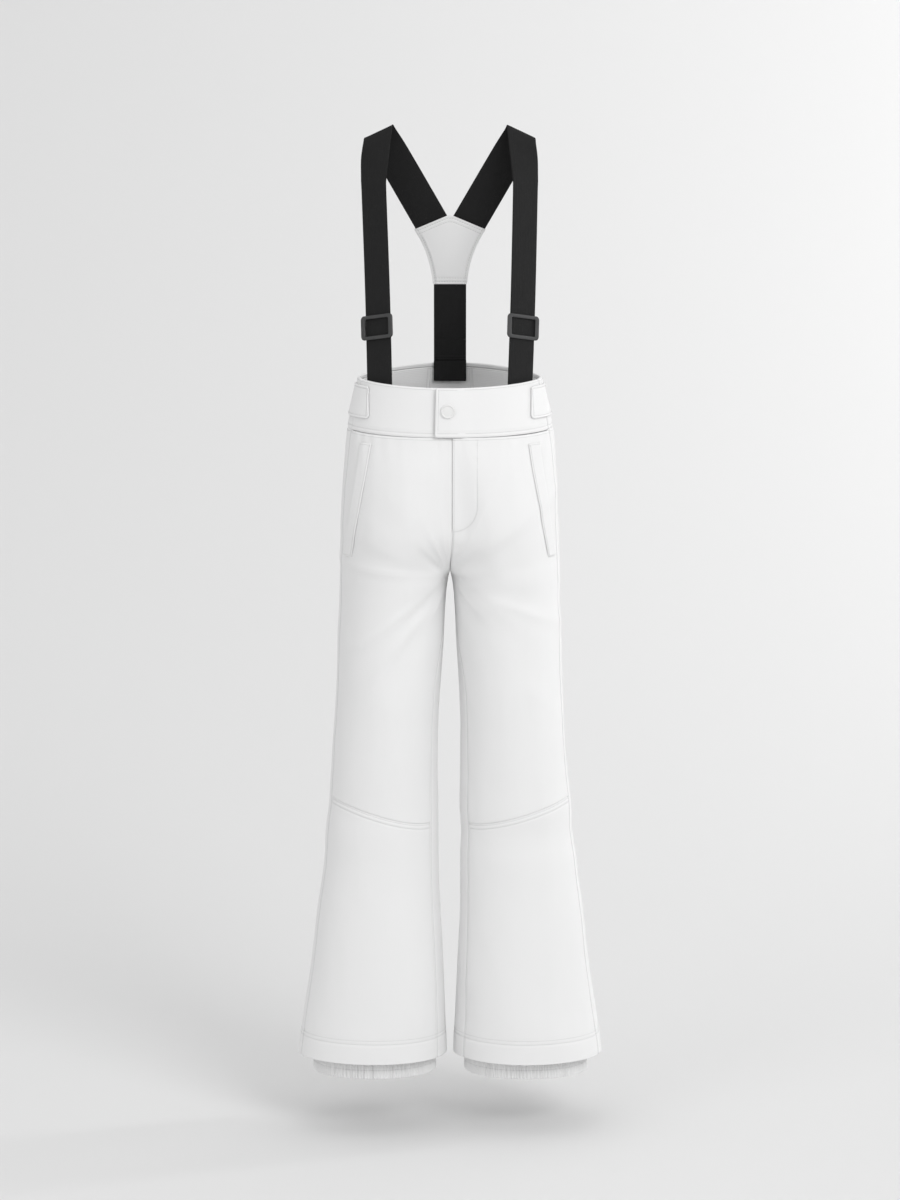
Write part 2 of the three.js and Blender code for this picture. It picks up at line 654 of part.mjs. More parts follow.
for (const [label, side] of SIDES) {
  add(`strap_${label}`, ribbon(strapStations(side), WEBBING.width, WEBBING.thick), "webbing");

  const basis = strapBasis(side);
  const mirror = new THREE.Vector3(side, 1, 1);
  const hold = add(`buckle_${label}`, buckle(), "plastic");
  const up = (BUCKLE.height - STRAP_FOOT.z) / strapAlong.z;
  hold.quaternion.setFromRotationMatrix(basis);
  hold.position.copy(STRAP_FOOT).addScaledVector(strapAlong, up).multiply(mirror);

  const hook = add(`strap_hook_${label}`, new THREE.BoxGeometry(32, 12, 0.9), "patch");
  hook.quaternion.setFromRotationMatrix(basis);
  hook.position.copy(STRAP_FOOT).addScaledVector(strapAlong, 7).multiply(mirror);
  const face = new THREE.Vector3().setFromMatrixColumn(basis, 2);
  hook.position.addScaledVector(face, WEBBING.thick / 2 + 0.75);
}

function yokeOutline() {
  const [outer, inner, foot] = [YOKE.topOuter, YOKE.topInner, YOKE.foot];
  const shape = new THREE.Shape();
  shape.moveTo(-foot[0], foot[1]);
  shape.lineTo(foot[0], foot[1]);
  shape.quadraticCurveTo(foot[0] + 3, lerp(foot[1], outer[1], 0.55), outer[0], outer[1]);
  shape.lineTo(inner[0], inner[1]);
  shape.lineTo(-inner[0], inner[1]);
  shape.lineTo(-outer[0], outer[1]);
  shape.quadraticCurveTo(-foot[0] - 3, lerp(foot[1], outer[1], 0.55), -foot[0], foot[1]);
  return shape;
}

const lean = Math.atan2(BACK_STRAP_TOP.y - 59.4, YOKE.topOuter[1] - YOKE.foot[1]);
const yoke = new THREE.ExtrudeGeometry(yokeOutline(), {
  depth: YOKE.thick, bevelEnabled: false, curveSegments: 6,
});
yoke.translate(0, -YOKE.foot[1], -YOKE.thick / 2).rotateX(Math.PI / 2 + lean);
add("back_yoke", yoke, "softshell").position.set(0, BACK_STRAP_TOP.y - 0.4, YOKE.foot[1]);

function backRibbon(top, foot, offset) {
  const across = new THREE.Vector3(1, 0, 0);
  const stations = [top, foot].map((centre) => ({
    centre: centre.clone().add(new THREE.Vector3(0, offset, 0)),
    across,
  }));
  return ribbon(stations, WEBBING.width, WEBBING.thick);
}

const lapTop = BACK_STRAP_FOOT.clone().lerp(
  BACK_STRAP_TOP,
  (LAP_Z - BACK_STRAP_FOOT.z) / (BACK_STRAP_TOP.z - BACK_STRAP_FOOT.z),
);
add("back_strap", backRibbon(BACK_STRAP_TOP, BACK_STRAP_FOOT, 0), "webbing");
add("back_strap_lap", backRibbon(lapTop, BACK_STRAP_FOOT, -WEBBING.thick - 0.35), "webbing");

const anchorTop = new THREE.Vector3(0, BACK_STRAP_FOOT.y - 0.9, BACK_ANCHOR_Z[0]);
const anchorFoot = new THREE.Vector3(0, BACK_STRAP_FOOT.y - 0.9, BACK_ANCHOR_Z[1]);
const anchor = [anchorTop, anchorFoot].map((centre) => ({ centre, across: new THREE.Vector3(1, 0, 0) }));
add("back_strap_anchor", ribbon(anchor, WEBBING.width, 2 * WEBBING.thick), "webbing");

// ---------------------------------------------------------------- snow gaiters

const GAITER_CLOTH = 1.6;
const CUFF = { height: 9, inset: 2.0, thick: 1.4 };

function gaiterPoint(side, turn, z, inset) {
  const t = (GAITER.top - z) / (GAITER.top - GAITER.bottom);
  const rx = lerp(GAITER.topRx, GAITER.rx, t) - inset;
  const ry = lerp(GAITER.topRy, GAITER.ry, t) - inset;
  const centre = lerp(94.5, GAITER.centre, t);
  return [side * (centre + rx * Math.cos(radians(turn))), -ry * Math.sin(radians(turn)), z];
}

for (const [label, side] of SIDES) {
  add(`gaiter_${label}`, ring(2, (turn, v, d) => {
    const z = lerp(GAITER.top, GAITER.bottom, v);
    return gaiterPoint(side, turn, z, d * GAITER_CLOTH);
  }), "taffeta");
  add(`gaiter_elastic_${label}`, ring(1, (turn, v, d) => {
    const z = GAITER.bottom + 1 + CUFF.height * (1 - v);
    return gaiterPoint(side, turn, z, CUFF.inset + d * CUFF.thick);
  }), "webbing");
}

export default group;
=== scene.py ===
"""Looks of a child's white ski pants with a black elastic suspenders harness.

Every length is in metres. +Z is up, the front faces -Y and the wearer's left is +X. The cloth
panels lie on one body surface, given by sections of the hips and legs, and take their folds,
seams and stitches from it.
"""

import json
import logging
import math
from collections.abc import Sequence
from dataclasses import dataclass
from enum import Enum

import bmesh
import bpy
import numpy as np
from mathutils import Matrix, Vector


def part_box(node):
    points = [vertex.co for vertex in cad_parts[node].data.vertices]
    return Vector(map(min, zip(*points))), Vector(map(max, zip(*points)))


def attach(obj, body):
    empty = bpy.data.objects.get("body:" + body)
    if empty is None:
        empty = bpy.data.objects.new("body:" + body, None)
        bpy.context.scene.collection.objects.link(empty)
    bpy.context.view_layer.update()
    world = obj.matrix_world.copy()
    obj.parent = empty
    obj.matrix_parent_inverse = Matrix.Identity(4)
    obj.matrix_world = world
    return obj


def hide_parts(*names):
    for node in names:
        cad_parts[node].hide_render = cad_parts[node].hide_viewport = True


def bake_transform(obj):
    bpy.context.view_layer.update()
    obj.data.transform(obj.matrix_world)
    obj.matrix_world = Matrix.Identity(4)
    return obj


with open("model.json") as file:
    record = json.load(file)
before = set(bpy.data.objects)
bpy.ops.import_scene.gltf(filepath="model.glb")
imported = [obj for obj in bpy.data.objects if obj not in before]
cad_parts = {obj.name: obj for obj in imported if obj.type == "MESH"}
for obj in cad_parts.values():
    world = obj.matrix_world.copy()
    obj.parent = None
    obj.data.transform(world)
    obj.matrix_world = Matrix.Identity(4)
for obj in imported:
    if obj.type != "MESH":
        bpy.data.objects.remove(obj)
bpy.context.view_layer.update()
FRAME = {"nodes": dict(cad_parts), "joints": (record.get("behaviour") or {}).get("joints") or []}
LOG = logging.getLogger("ski_pants")
Array = np.ndarray
MM = 0.001


class Side(Enum):
    """The wearer's left and right, as the sign of X."""

    LEFT = 1
    RIGHT = -1

    @property
    def label(self) -> str:
        """The word used in names."""
        return self.name.lower()


class Face(Enum):
    """The front and back panels of a leg."""

    FRONT = "front"
    BACK = "back"


# ------------------------------------------------------------------------------- finishes


@dataclass(frozen=True)
class Finish:
    """A surface finish with a fine grain, slow colour variation and its own gloss."""

    name: str
    slot: str
    colour: tuple[float, float, float]
    roughness: float = 0.8
    metallic: float = 0.0
    sheen: float = 0.0
    specular: float = 0.5
    shade: float = 0.94  # darkest part of the colour variation
    mottle_scale: float = 30.0  # per metre
    grain_scale: float = 1800.0
    grain_depth: float = 0.00012
    grain_strength: float = 0.35

    def build(self) -> bpy.types.Material:
        """Makes the material.

        Returns:
            The new material, with its nodes.
        """
        material = bpy.data.materials.new(self.name)
        material.use_nodes = True
        material.diffuse_color = (*self.colour, 1.0)
        tree = material.node_tree
        shader = tree.nodes["Principled BSDF"]
        shader.inputs["Metallic"].default_value = self.metallic
        shader.inputs["Sheen Weight"].default_value = self.sheen
        shader.inputs["Sheen Roughness"].default_value = 0.45
        shader.inputs["Specular IOR Level"].default_value = self.specular
        self.colour_nodes(tree, shader)
        self.gloss_nodes(tree, shader)
        tree.links.new(self.relief_nodes(tree), shader.inputs["Normal"])
        return material

    def place(self, tree: bpy.types.NodeTree) -> bpy.types.NodeSocket:
        """The coordinates that the pattern reads."""
        return tree.nodes.new("ShaderNodeTexCoord").outputs["Object"]

    def noise(self, tree: bpy.types.NodeTree, scale: float, detail: float = 3.0) -> bpy.types.Node:
        """Adds a noise texture on the piece's coordinates.

        Args:
            tree: The material's node tree.
            scale: Features per metre.
            detail: Octaves.

        Returns:
            The texture node.
        """
        texture = tree.nodes.new("ShaderNodeTexNoise")
        texture.inputs["Scale"].default_value = scale
        texture.inputs["Detail"].default_value = detail
        tree.links.new(self.place(tree), texture.inputs["Vector"])
        return texture

    def colour_nodes(self, tree: bpy.types.NodeTree, shader: bpy.types.Node) -> None:
        """Varies the colour slowly over the surface."""
        ramp = tree.nodes.new("ShaderNodeValToRGB")
        ramp.color_ramp.elements[0].position = 0.3
        ramp.color_ramp.elements[1].position = 0.7
        ramp.color_ramp.elements[0].color = (*(self.shade * c for c in self.colour), 1.0)
        ramp.color_ramp.elements[1].color = (*self.colour, 1.0)
        tree.links.new(self.noise(tree, self.mottle_scale).outputs["Fac"], ramp.inputs["Fac"])
        tree.links.new(ramp.outputs["Color"], shader.inputs["Base Color"])

    def gloss_nodes(self, tree: bpy.types.NodeTree, shader: bpy.types.Node) -> None:
        """Varies the roughness a little, as handling does."""
        spread = tree.nodes.new("ShaderNodeMapRange")
        spread.inputs["To Min"].default_value = max(0.05, self.roughness - 0.06)
        spread.inputs["To Max"].default_value = min(1.0, self.roughness + 0.05)
        tree.links.new(self.noise(tree, self.mottle_scale * 3).outputs["Fac"], spread.inputs["Value"])
        tree.links.new(spread.outputs["Result"], shader.inputs["Roughness"])

    def relief_nodes(self, tree: bpy.types.NodeTree) -> bpy.types.NodeSocket:
        """Adds the fine grain.

        Returns:
            The normal that the shader takes.
        """
        bump = tree.nodes.new("ShaderNodeBump")
        bump.inputs["Strength"].default_value = self.grain_strength
        bump.inputs["Distance"].default_value = self.grain_depth
        tree.links.new(self.noise(tree, self.grain_scale, 2.0).outputs["Fac"], bump.inputs["Height"])
        return bump.outputs["Normal"]


@dataclass(frozen=True)
class WovenFinish(Finish):
    """A cloth whose threads cross, drawn along the piece's own UV map in metres."""

    warp: float = 0.0009  # thread spacing across
    weft: float = 0.0009  # thread spacing along
    thread_depth: float = 0.00015
    thread_strength: float = 0.5
    # painted shade in the gaps between threads, as a share of the colour
    thread_shade: float = 0.9

    def band(self, tree: bpy.types.NodeTree, axis: str, pitch: float) -> bpy.types.NodeSocket:
        """A row of threads.

        Args:
            tree: The material's node tree.
            axis: The UV axis, X or Y, that the rows step along.
            pitch: Spacing of the rows.

        Returns:
            Height of the rows, 0 to 1.
        """
        wave = tree.nodes.new("ShaderNodeTexWave")
        wave.bands_direction = axis
        wave.inputs["Scale"].default_value = math.tau / 20.0 / pitch
        wave.inputs["Distortion"].default_value = 0.6
        wave.inputs["Detail"].default_value = 1.0
        wave.inputs["Detail Scale"].default_value = 1.5
        uv = tree.nodes.new("ShaderNodeUVMap")
        uv.uv_map = "cloth"
        tree.links.new(uv.outputs["UV"], wave.inputs["Vector"])
        return wave.outputs["Fac"]

    def weave(self, tree: bpy.types.NodeTree) -> bpy.types.NodeSocket:
        """Both sets of threads, the higher one showing."""
        over = tree.nodes.new("ShaderNodeMath")
        over.operation = "MAXIMUM"
        tree.links.new(self.band(tree, "X", self.warp), over.inputs[0])
        tree.links.new(self.band(tree, "Y", self.weft), over.inputs[1])
        return over.outputs["Value"]

    def colour_nodes(self, tree: bpy.types.NodeTree, shader: bpy.types.Node) -> None:
        """Darkens the gaps between threads with painted shade, and varies the tone slowly at random."""
        # The low parts of the weave, the gaps between threads, are painted darker as shade.
        ramp = tree.nodes.new("ShaderNodeValToRGB")
        ramp.color_ramp.elements[0].color = (*(self.thread_shade * self.shade * c for c in self.colour), 1.0)
        ramp.color_ramp.elements[1].color = (*self.colour, 1.0)
        mix = tree.nodes.new("ShaderNodeMath")
        mix.operation = "MULTIPLY_ADD"
        mix.inputs[1].default_value = 0.65
        share = tree.nodes.new("ShaderNodeMath")
        share.operation = "MULTIPLY"
        share.inputs[1].default_value = 0.35
        tree.links.new(self.noise(tree, self.mottle_scale).outputs["Fac"], share.inputs[0])
        tree.links.new(self.weave(tree), mix.inputs[0])
        tree.links.new(share.outputs["Value"], mix.inputs[2])
        tree.links.new(mix.outputs["Value"], ramp.inputs["Fac"])
        tree.links.new(ramp.outputs["Color"], shader.inputs["Base Color"])

    def relief_nodes(self, tree: bpy.types.NodeTree) -> bpy.types.NodeSocket:
        """Adds the threads over the fibre grain."""
        bump = tree.nodes.new("ShaderNodeBump")
        bump.inputs["Strength"].default_value = self.thread_strength
        bump.inputs["Distance"].default_value = self.thread_depth
        tree.links.new(self.weave(tree), bump.inputs["Height"])
        tree.links.new(super().relief_nodes(tree), bump.inputs["Normal"])
        return bump.outputs["Normal"]


SOFTSHELL = WovenFinish(
    "softshell_white", "softshell", (0.80, 0.80, 0.80), 0.84, sheen=0.08, shade=0.975,
    mottle_scale=9.0, grain_scale=900.0, grain_depth=0.0002, grain_strength=0.28,
    warp=0.0011, weft=0.0011, thread_depth=0.00008, thread_strength=0.3, thread_shade=0.985,
)
LINING = WovenFinish(
    "lining_grey", "lining", (0.86, 0.86, 0.86), 0.9, sheen=0.2, shade=0.95,
    warp=0.0013, weft=0.0022, thread_depth=0.0002, thread_strength=0.5, thread_shade=0.93,
)
TAFFETA = WovenFinish(
    "taffeta_white", "taffeta", (0.83, 0.83, 0.83), 0.55, sheen=0.05, shade=0.96,
    warp=0.0006, weft=0.0006, thread_depth=0.00006, thread_strength=0.35, thread_shade=0.96,
)
# The black webbing's gaps between threads get deep painted shade.
WEBBING = WovenFinish(
    "webbing_black", "webbing", (0.0125, 0.0125, 0.0128), 0.82, sheen=0.02, specular=0.25, shade=0.8,
    mottle_scale=60.0, warp=0.0016, weft=0.00125, thread_depth=0.0003, thread_strength=0.8,
    thread_shade=0.55,
)
# The real thread is white like the cloth; this grey is painted shade, standing in for the shade in the dents
# along each row of stitches.
THREAD_PAINTED_SHADE = Finish(
    "sewing_thread", "softshell", (0.52, 0.52, 0.52), 0.6, shade=0.92, mottle_scale=300.0,
    grain_scale=4000.0,
)
DARK_THREAD = Finish(
    "black_thread", "webbing", (0.022, 0.022, 0.023), 0.6, shade=0.8, mottle_scale=300.0,
    grain_scale=4000.0,
)
PLASTIC = Finish(
    "moulded_plastic", "plastic", (0.040, 0.040, 0.041), 0.46, shade=0.85, mottle_scale=80.0,
    grain_scale=1500.0, grain_depth=0.00006, grain_strength=0.4,
)
ENAMEL = Finish(
    "white_enamel", "enamel", (0.76, 0.76, 0.755), 0.32, shade=0.97, mottle_scale=120.0,
    grain_scale=600.0, grain_depth=0.00003, grain_strength=0.2,
)
STEEL = Finish(
    "plated_steel", "steel", (0.62, 0.63, 0.64), 0.32, metallic=1.0, shade=0.85, mottle_scale=200.0,
    grain_scale=3000.0, grain_depth=0.00003,
)
HOOK_TAPE = Finish(
    "black_hook_tape", "webbing", (0.016, 0.016, 0.0165), 0.9, shade=0.7, mottle_scale=700.0,
    grain_scale=1200.0, grain_depth=0.0006, grain_strength=0.9,
)
HOOK_LOOP = Finish(
    "hook_and_loop", "hook_loop", (0.72, 0.72, 0.72), 0.95, sheen=0.4, shade=0.85,
    mottle_scale=700.0, grain_scale=1200.0, grain_depth=0.0006, grain_strength=0.9,
)
FINISHES = (
    SOFTSHELL, LINING, TAFFETA, WEBBING, THREAD_PAINTED_SHADE, DARK_THREAD, PLASTIC, ENAMEL, STEEL, HOOK_TAPE, HOOK_LOOP,
)


class Wardrobe:
    """Holds the made materials, and dresses the CAD nodes that stay."""

    def __init__(self) -> None:
        """Makes every material once."""
        self.made = {finish.name: finish.build() for finish in FINISHES}

    def get(self, finish: Finish) -> bpy.types.Material:
        """The material of a finish."""
        return self.made[finish.name]

    def dress(self, node: bpy.types.Object, finish: Finish) -> None:
        """Gives a CAD node's slots a finish."""
        if not node.material_slots:
            node.data.materials.append(self.get(finish))
        for slot in node.material_slots:
            slot.material = self.get(finish)


# ------------------------------------------------------------------------- body surface


def smooth(t: Array | float) -> Array:
    """The smoothstep curve of a value, clipped to 0 and 1."""
    t = np.clip(t, 0.0, 1.0)
    return t * t * (3.0 - 2.0 * t)


def mix(a: Array | float, b: Array | float, t: Array | float) -> Array:
    """A straight blend from a to b."""
    return a + (b - a) * t


@dataclass(frozen=True)
class Noise:
    """Seeded smooth noise in space, the same on each run."""

    seed: int

    def at(self, points: Array) -> Array:
        """Noise at points.

        Args:
            points: Rows of three coordinates, in noise cells.

        Returns:
            One value a point, about -1 to 1.
        """
        cell = np.floor(points).astype(np.int64)
        part = points - cell
        ease = part * part * part * (part * (part * 6.0 - 15.0) + 10.0)
        total = np.zeros(len(points))
        for corner in np.ndindex(2, 2, 2):
            offset = np.array(corner)
            key = (cell + offset) @ np.array([374761393, 668265263, 2147483647]) + self.seed * 974634777
            key = (key ^ (key >> 13)) * 1274126177
            value = ((key ^ (key >> 16)) & 0xFFFF) / 32767.5 - 1.0
            weight = np.prod(np.where(offset == 1, ease, 1.0 - ease), axis=1)
            total += value * weight
        return total


@dataclass(frozen=True)
class BodyForm:
    """The shape of the hips and legs that the cloth is cut for."""

    # Height, leg centre from the middle, half width, half depth and centre in Y, in millimetres.
    sections: tuple[tuple[float, ...], ...] = (
        (-900, 99.8, 195.6, 71.4, 0),
        (-862, 98.3, 192.1, 70, 0),
        (-746, 91.8, 175.5, 66.5, 0),
        (-668, 89.4, 167.0, 64.6, 0),
        (-620, 86.8, 160.6, 64, 0),
        (-535, 83, 153, 66, 0),
        (-480, 80.8, 148.5, 69, 0),
        (-410, 78, 143.7, 73, 1),
        (-342, 75, 141.0, 78, 3),
        (-244, 69, 138, 86, 6),
        (-180, 55, 136, 99, 6),
        (-118, 36, 133, 95, 2),
        (-62, 12, 127.5, 86, 0),
        (0, 0.5, 114, 80, 0),
        (12, 0.5, 112, 78.8, 0),
    )
    crotch_z: float = -0.244
    crotch_bend_z: float = -0.184
    band_foot_z: float = -0.062
    seat_dip: float = 0.9
    side_seam: float = 17.0  # degrees forward of the outer side
    inseam: float = 150.0
    inseam_settle_z: float = -0.400
    fly_x: float = 0.003
    knee_z: float = -0.545
    knee_seam_z: tuple[float, float] = (-0.528, -0.559)
    hem_z: float = -0.863
    seam_x: float = 0.0001

    def section(self, z: Array) -> tuple[Array, Array, Array, Array]:
        """Sizes of the section at a height, on a smooth curve through the given ones.

        Args:
            z: Heights.

        Returns:
            Leg centre, half width, half depth and centre in Y.
        """
        table = np.array(self.sections) * MM
        heights = table[:, 0]
        z = np.asarray(z, float)
        i = np.clip(np.searchsorted(heights, z, side="right") - 1, 0, len(heights) - 2)
        before = np.maximum(i - 1, 0)
        after = np.minimum(i + 2, len(heights) - 1)
        step = heights[i + 1] - heights[i]
        gap_before = np.where(i > 0, heights[i] - heights[before], step)
        gap_after = np.where(i + 2 < len(heights), heights[after] - heights[i + 1], step)
        before = np.where(i > 0, before, i + 1)
        after = np.where(i + 2 < len(heights), after, i)
        p = np.clip((z - heights[i]) / step, 0.0, 1.0)
        wp = 0.5 * step / gap_before
        wn = 0.5 * step / gap_after
        terms = (
            (before, -wp * p**3 + 2 * wp * p**2 - wp * p),
            (i, (1 + wp) * p**3 + (-1.5 - 2 * wp) * p**2 + (-0.5 + wp) * p + 1),
            (i + 1, (-1 - wn) * p**3 + (1.5 + wn) * p**2 + 0.5 * p),
            (after, wn * p**3 - wn * p**2),
        )
        return tuple(sum(table[row, k] * w for row, w in terms) for k in range(1, 5))

    def seam_share(self, z: Array) -> Array:
        """Depth of the centre seam, as a share of the full depth."""
        t = np.clip((self.crotch_bend_z - z) / (self.crotch_bend_z - self.crotch_z), 0, 1)
        under = self.seat_dip * np.sqrt(1 - t * t)
        over = mix(self.seat_dip, 1.0, smooth((z - self.crotch_bend_z) / 0.122))
        return np.where(z <= self.crotch_z, 0.0, np.where(z <= self.crotch_bend_z, under, over))

    def leg(self, side: Side, turn: Array, z: Array, inset: Array | float = 0.0,
            seam_x: Array | float = None) -> Array:
        """Points on one side of the trousers.

        Args:
            side: Left or right.
            turn: Degrees round the leg: 0 at the outer side, 90 at the front, -90 at the back.
            z: Heights.
            inset: Distance inwards.
            seam_x: Where the panel ends at the centre, from the middle.

        Returns:
            Rows of coordinates, shaped like turn with three values each.
        """
        seam_x = self.seam_x if seam_x is None else seam_x
        centre, half_width, half_depth, middle = self.section(z)
        c = np.cos(np.radians(turn))
        n = np.sin(np.radians(turn))
        outer = half_width - centre - inset
        depth = half_depth - inset
        inner = np.minimum(centre - seam_x, outer)
        floor = np.maximum(0.0, half_depth * self.seam_share(z) - inset)
        flat = (1 - np.cos(np.pi * (1 + c))) / 2
        share = np.clip((self.crotch_bend_z - z) / (self.crotch_bend_z - self.crotch_z), 0, 1) ** 3
        rise = mix(flat, np.abs(n), share)
        inside = floor + (depth - floor) * rise
        y = np.where(c >= 0, depth * np.abs(n), inside)
        x = centre + np.where(c >= 0, outer, inner) * c
        # A turn of -180 is the centre of the back, and one of +180 the centre of the front.
        last_front = np.where(np.asarray(turn) > 0, 180.0, 179.9999)
        front = np.where(np.asarray(turn) % 360.0 <= last_front, 1.0, -1.0)
        return np.stack([side.value * x, middle - front * y, z + 0 * x], axis=-1)

    def band(self, side: Side, turn: Array, z: Array, inset: Array | float = 0.0) -> Array:
        """Points on the waistband; turn is 0 at the side and 90 at the centre front."""
        centre, half_width, half_depth, middle = self.section(z)
        x = (half_width - inset) * np.cos(np.radians(turn))
        out = np.maximum(0, np.abs(x) - centre) / (half_width - centre - inset)
        depth = (half_depth - inset) * np.sqrt(np.maximum(0, 1 - out * out))
        front = np.where(np.sin(np.radians(turn)) >= 0, 1.0, -1.0)
        return np.stack([side.value * x, middle - front * depth, z + 0 * x], axis=-1)

    def band_turn(self, x: Array | float, z: Array) -> Array:
        """The turn on the waistband that lies at a given x."""
        half_width = self.section(z)[1]
        return np.degrees(np.arccos(np.clip(x / half_width, -1, 1)))

    def inseam_turn(self, z: Array) -> Array:
        """Where the inseam lies round the leg, in degrees."""
        t = (self.crotch_z - z) / (self.crotch_z - self.inseam_settle_z)
        return mix(180.0, self.inseam, smooth(t))

    def fly_shift(self, z: Array) -> Array:
        """How far the centre front seam lies to the wearer's left."""
        return self.fly_x * smooth((z - self.crotch_z) / (self.crotch_bend_z - self.crotch_z))

    def knee_line(self, turn: Array) -> Array:
        """Height of the knee seam across the front of a leg."""
        t = smooth((turn - self.side_seam) / (self.inseam - self.side_seam))
        return mix(self.knee_seam_z[0], self.knee_seam_z[1], t)


# ------------------------------------------------------------------------- cloth meshes


def unit(vectors: Array) -> Array:
    """Vectors scaled to length 1."""
    return vectors / np.maximum(np.linalg.norm(vectors, axis=-1, keepdims=True), 1e-12)


def run_length(points: Array, axis: int) -> Array:
    """Distance run along an axis of a grid of points."""
    steps = np.linalg.norm(np.diff(points, axis=axis), axis=-1)
    start = np.zeros_like(np.take(steps, [0], axis=axis))
    return np.concatenate([start, np.cumsum(steps, axis=axis)], axis=axis)


def graded(count: int, ease: float = 0.75) -> Array:
    """Values from 0 to 1 that crowd towards both ends.

    Args:
        count: Number of steps.
        ease: 0 for even steps, near 1 for very fine ends.

    Returns:
        The count + 1 values.
    """
    t = np.linspace(0.0, 1.0, count + 1)
    return t - ease * np.sin(math.tau * t) / math.tau


def add_object(name: str, mesh: bpy.types.Mesh) -> bpy.types.Object:
    """Puts a mesh into the scene as a smooth-shaded object."""
    obj = bpy.data.objects.new(name, mesh)
    bpy.context.scene.collection.objects.link(obj)
    mesh.shade_smooth()
    return obj


def write_mesh(name: str, vertices: Array, faces: Array, material: bpy.types.Material) -> bpy.types.Object:
    """Makes an object from vertices and four-cornered faces."""
    mesh = bpy.data.meshes.new(name)
    mesh.from_pydata(vertices.tolist(), [], faces.tolist())
    mesh.materials.append(material)
    mesh.update()
    return add_object(name, mesh)


def grid_faces(index: Array, over: bool = False) -> Array:
    """Quads of a grid of vertex numbers, turned over where asked."""
    a, b, c, d = index[:-1, :-1], index[1:, :-1], index[1:, 1:], index[:-1, 1:]
    return np.stack((a, d, c, b) if over else (a, b, c, d), -1).reshape(-1, 4)


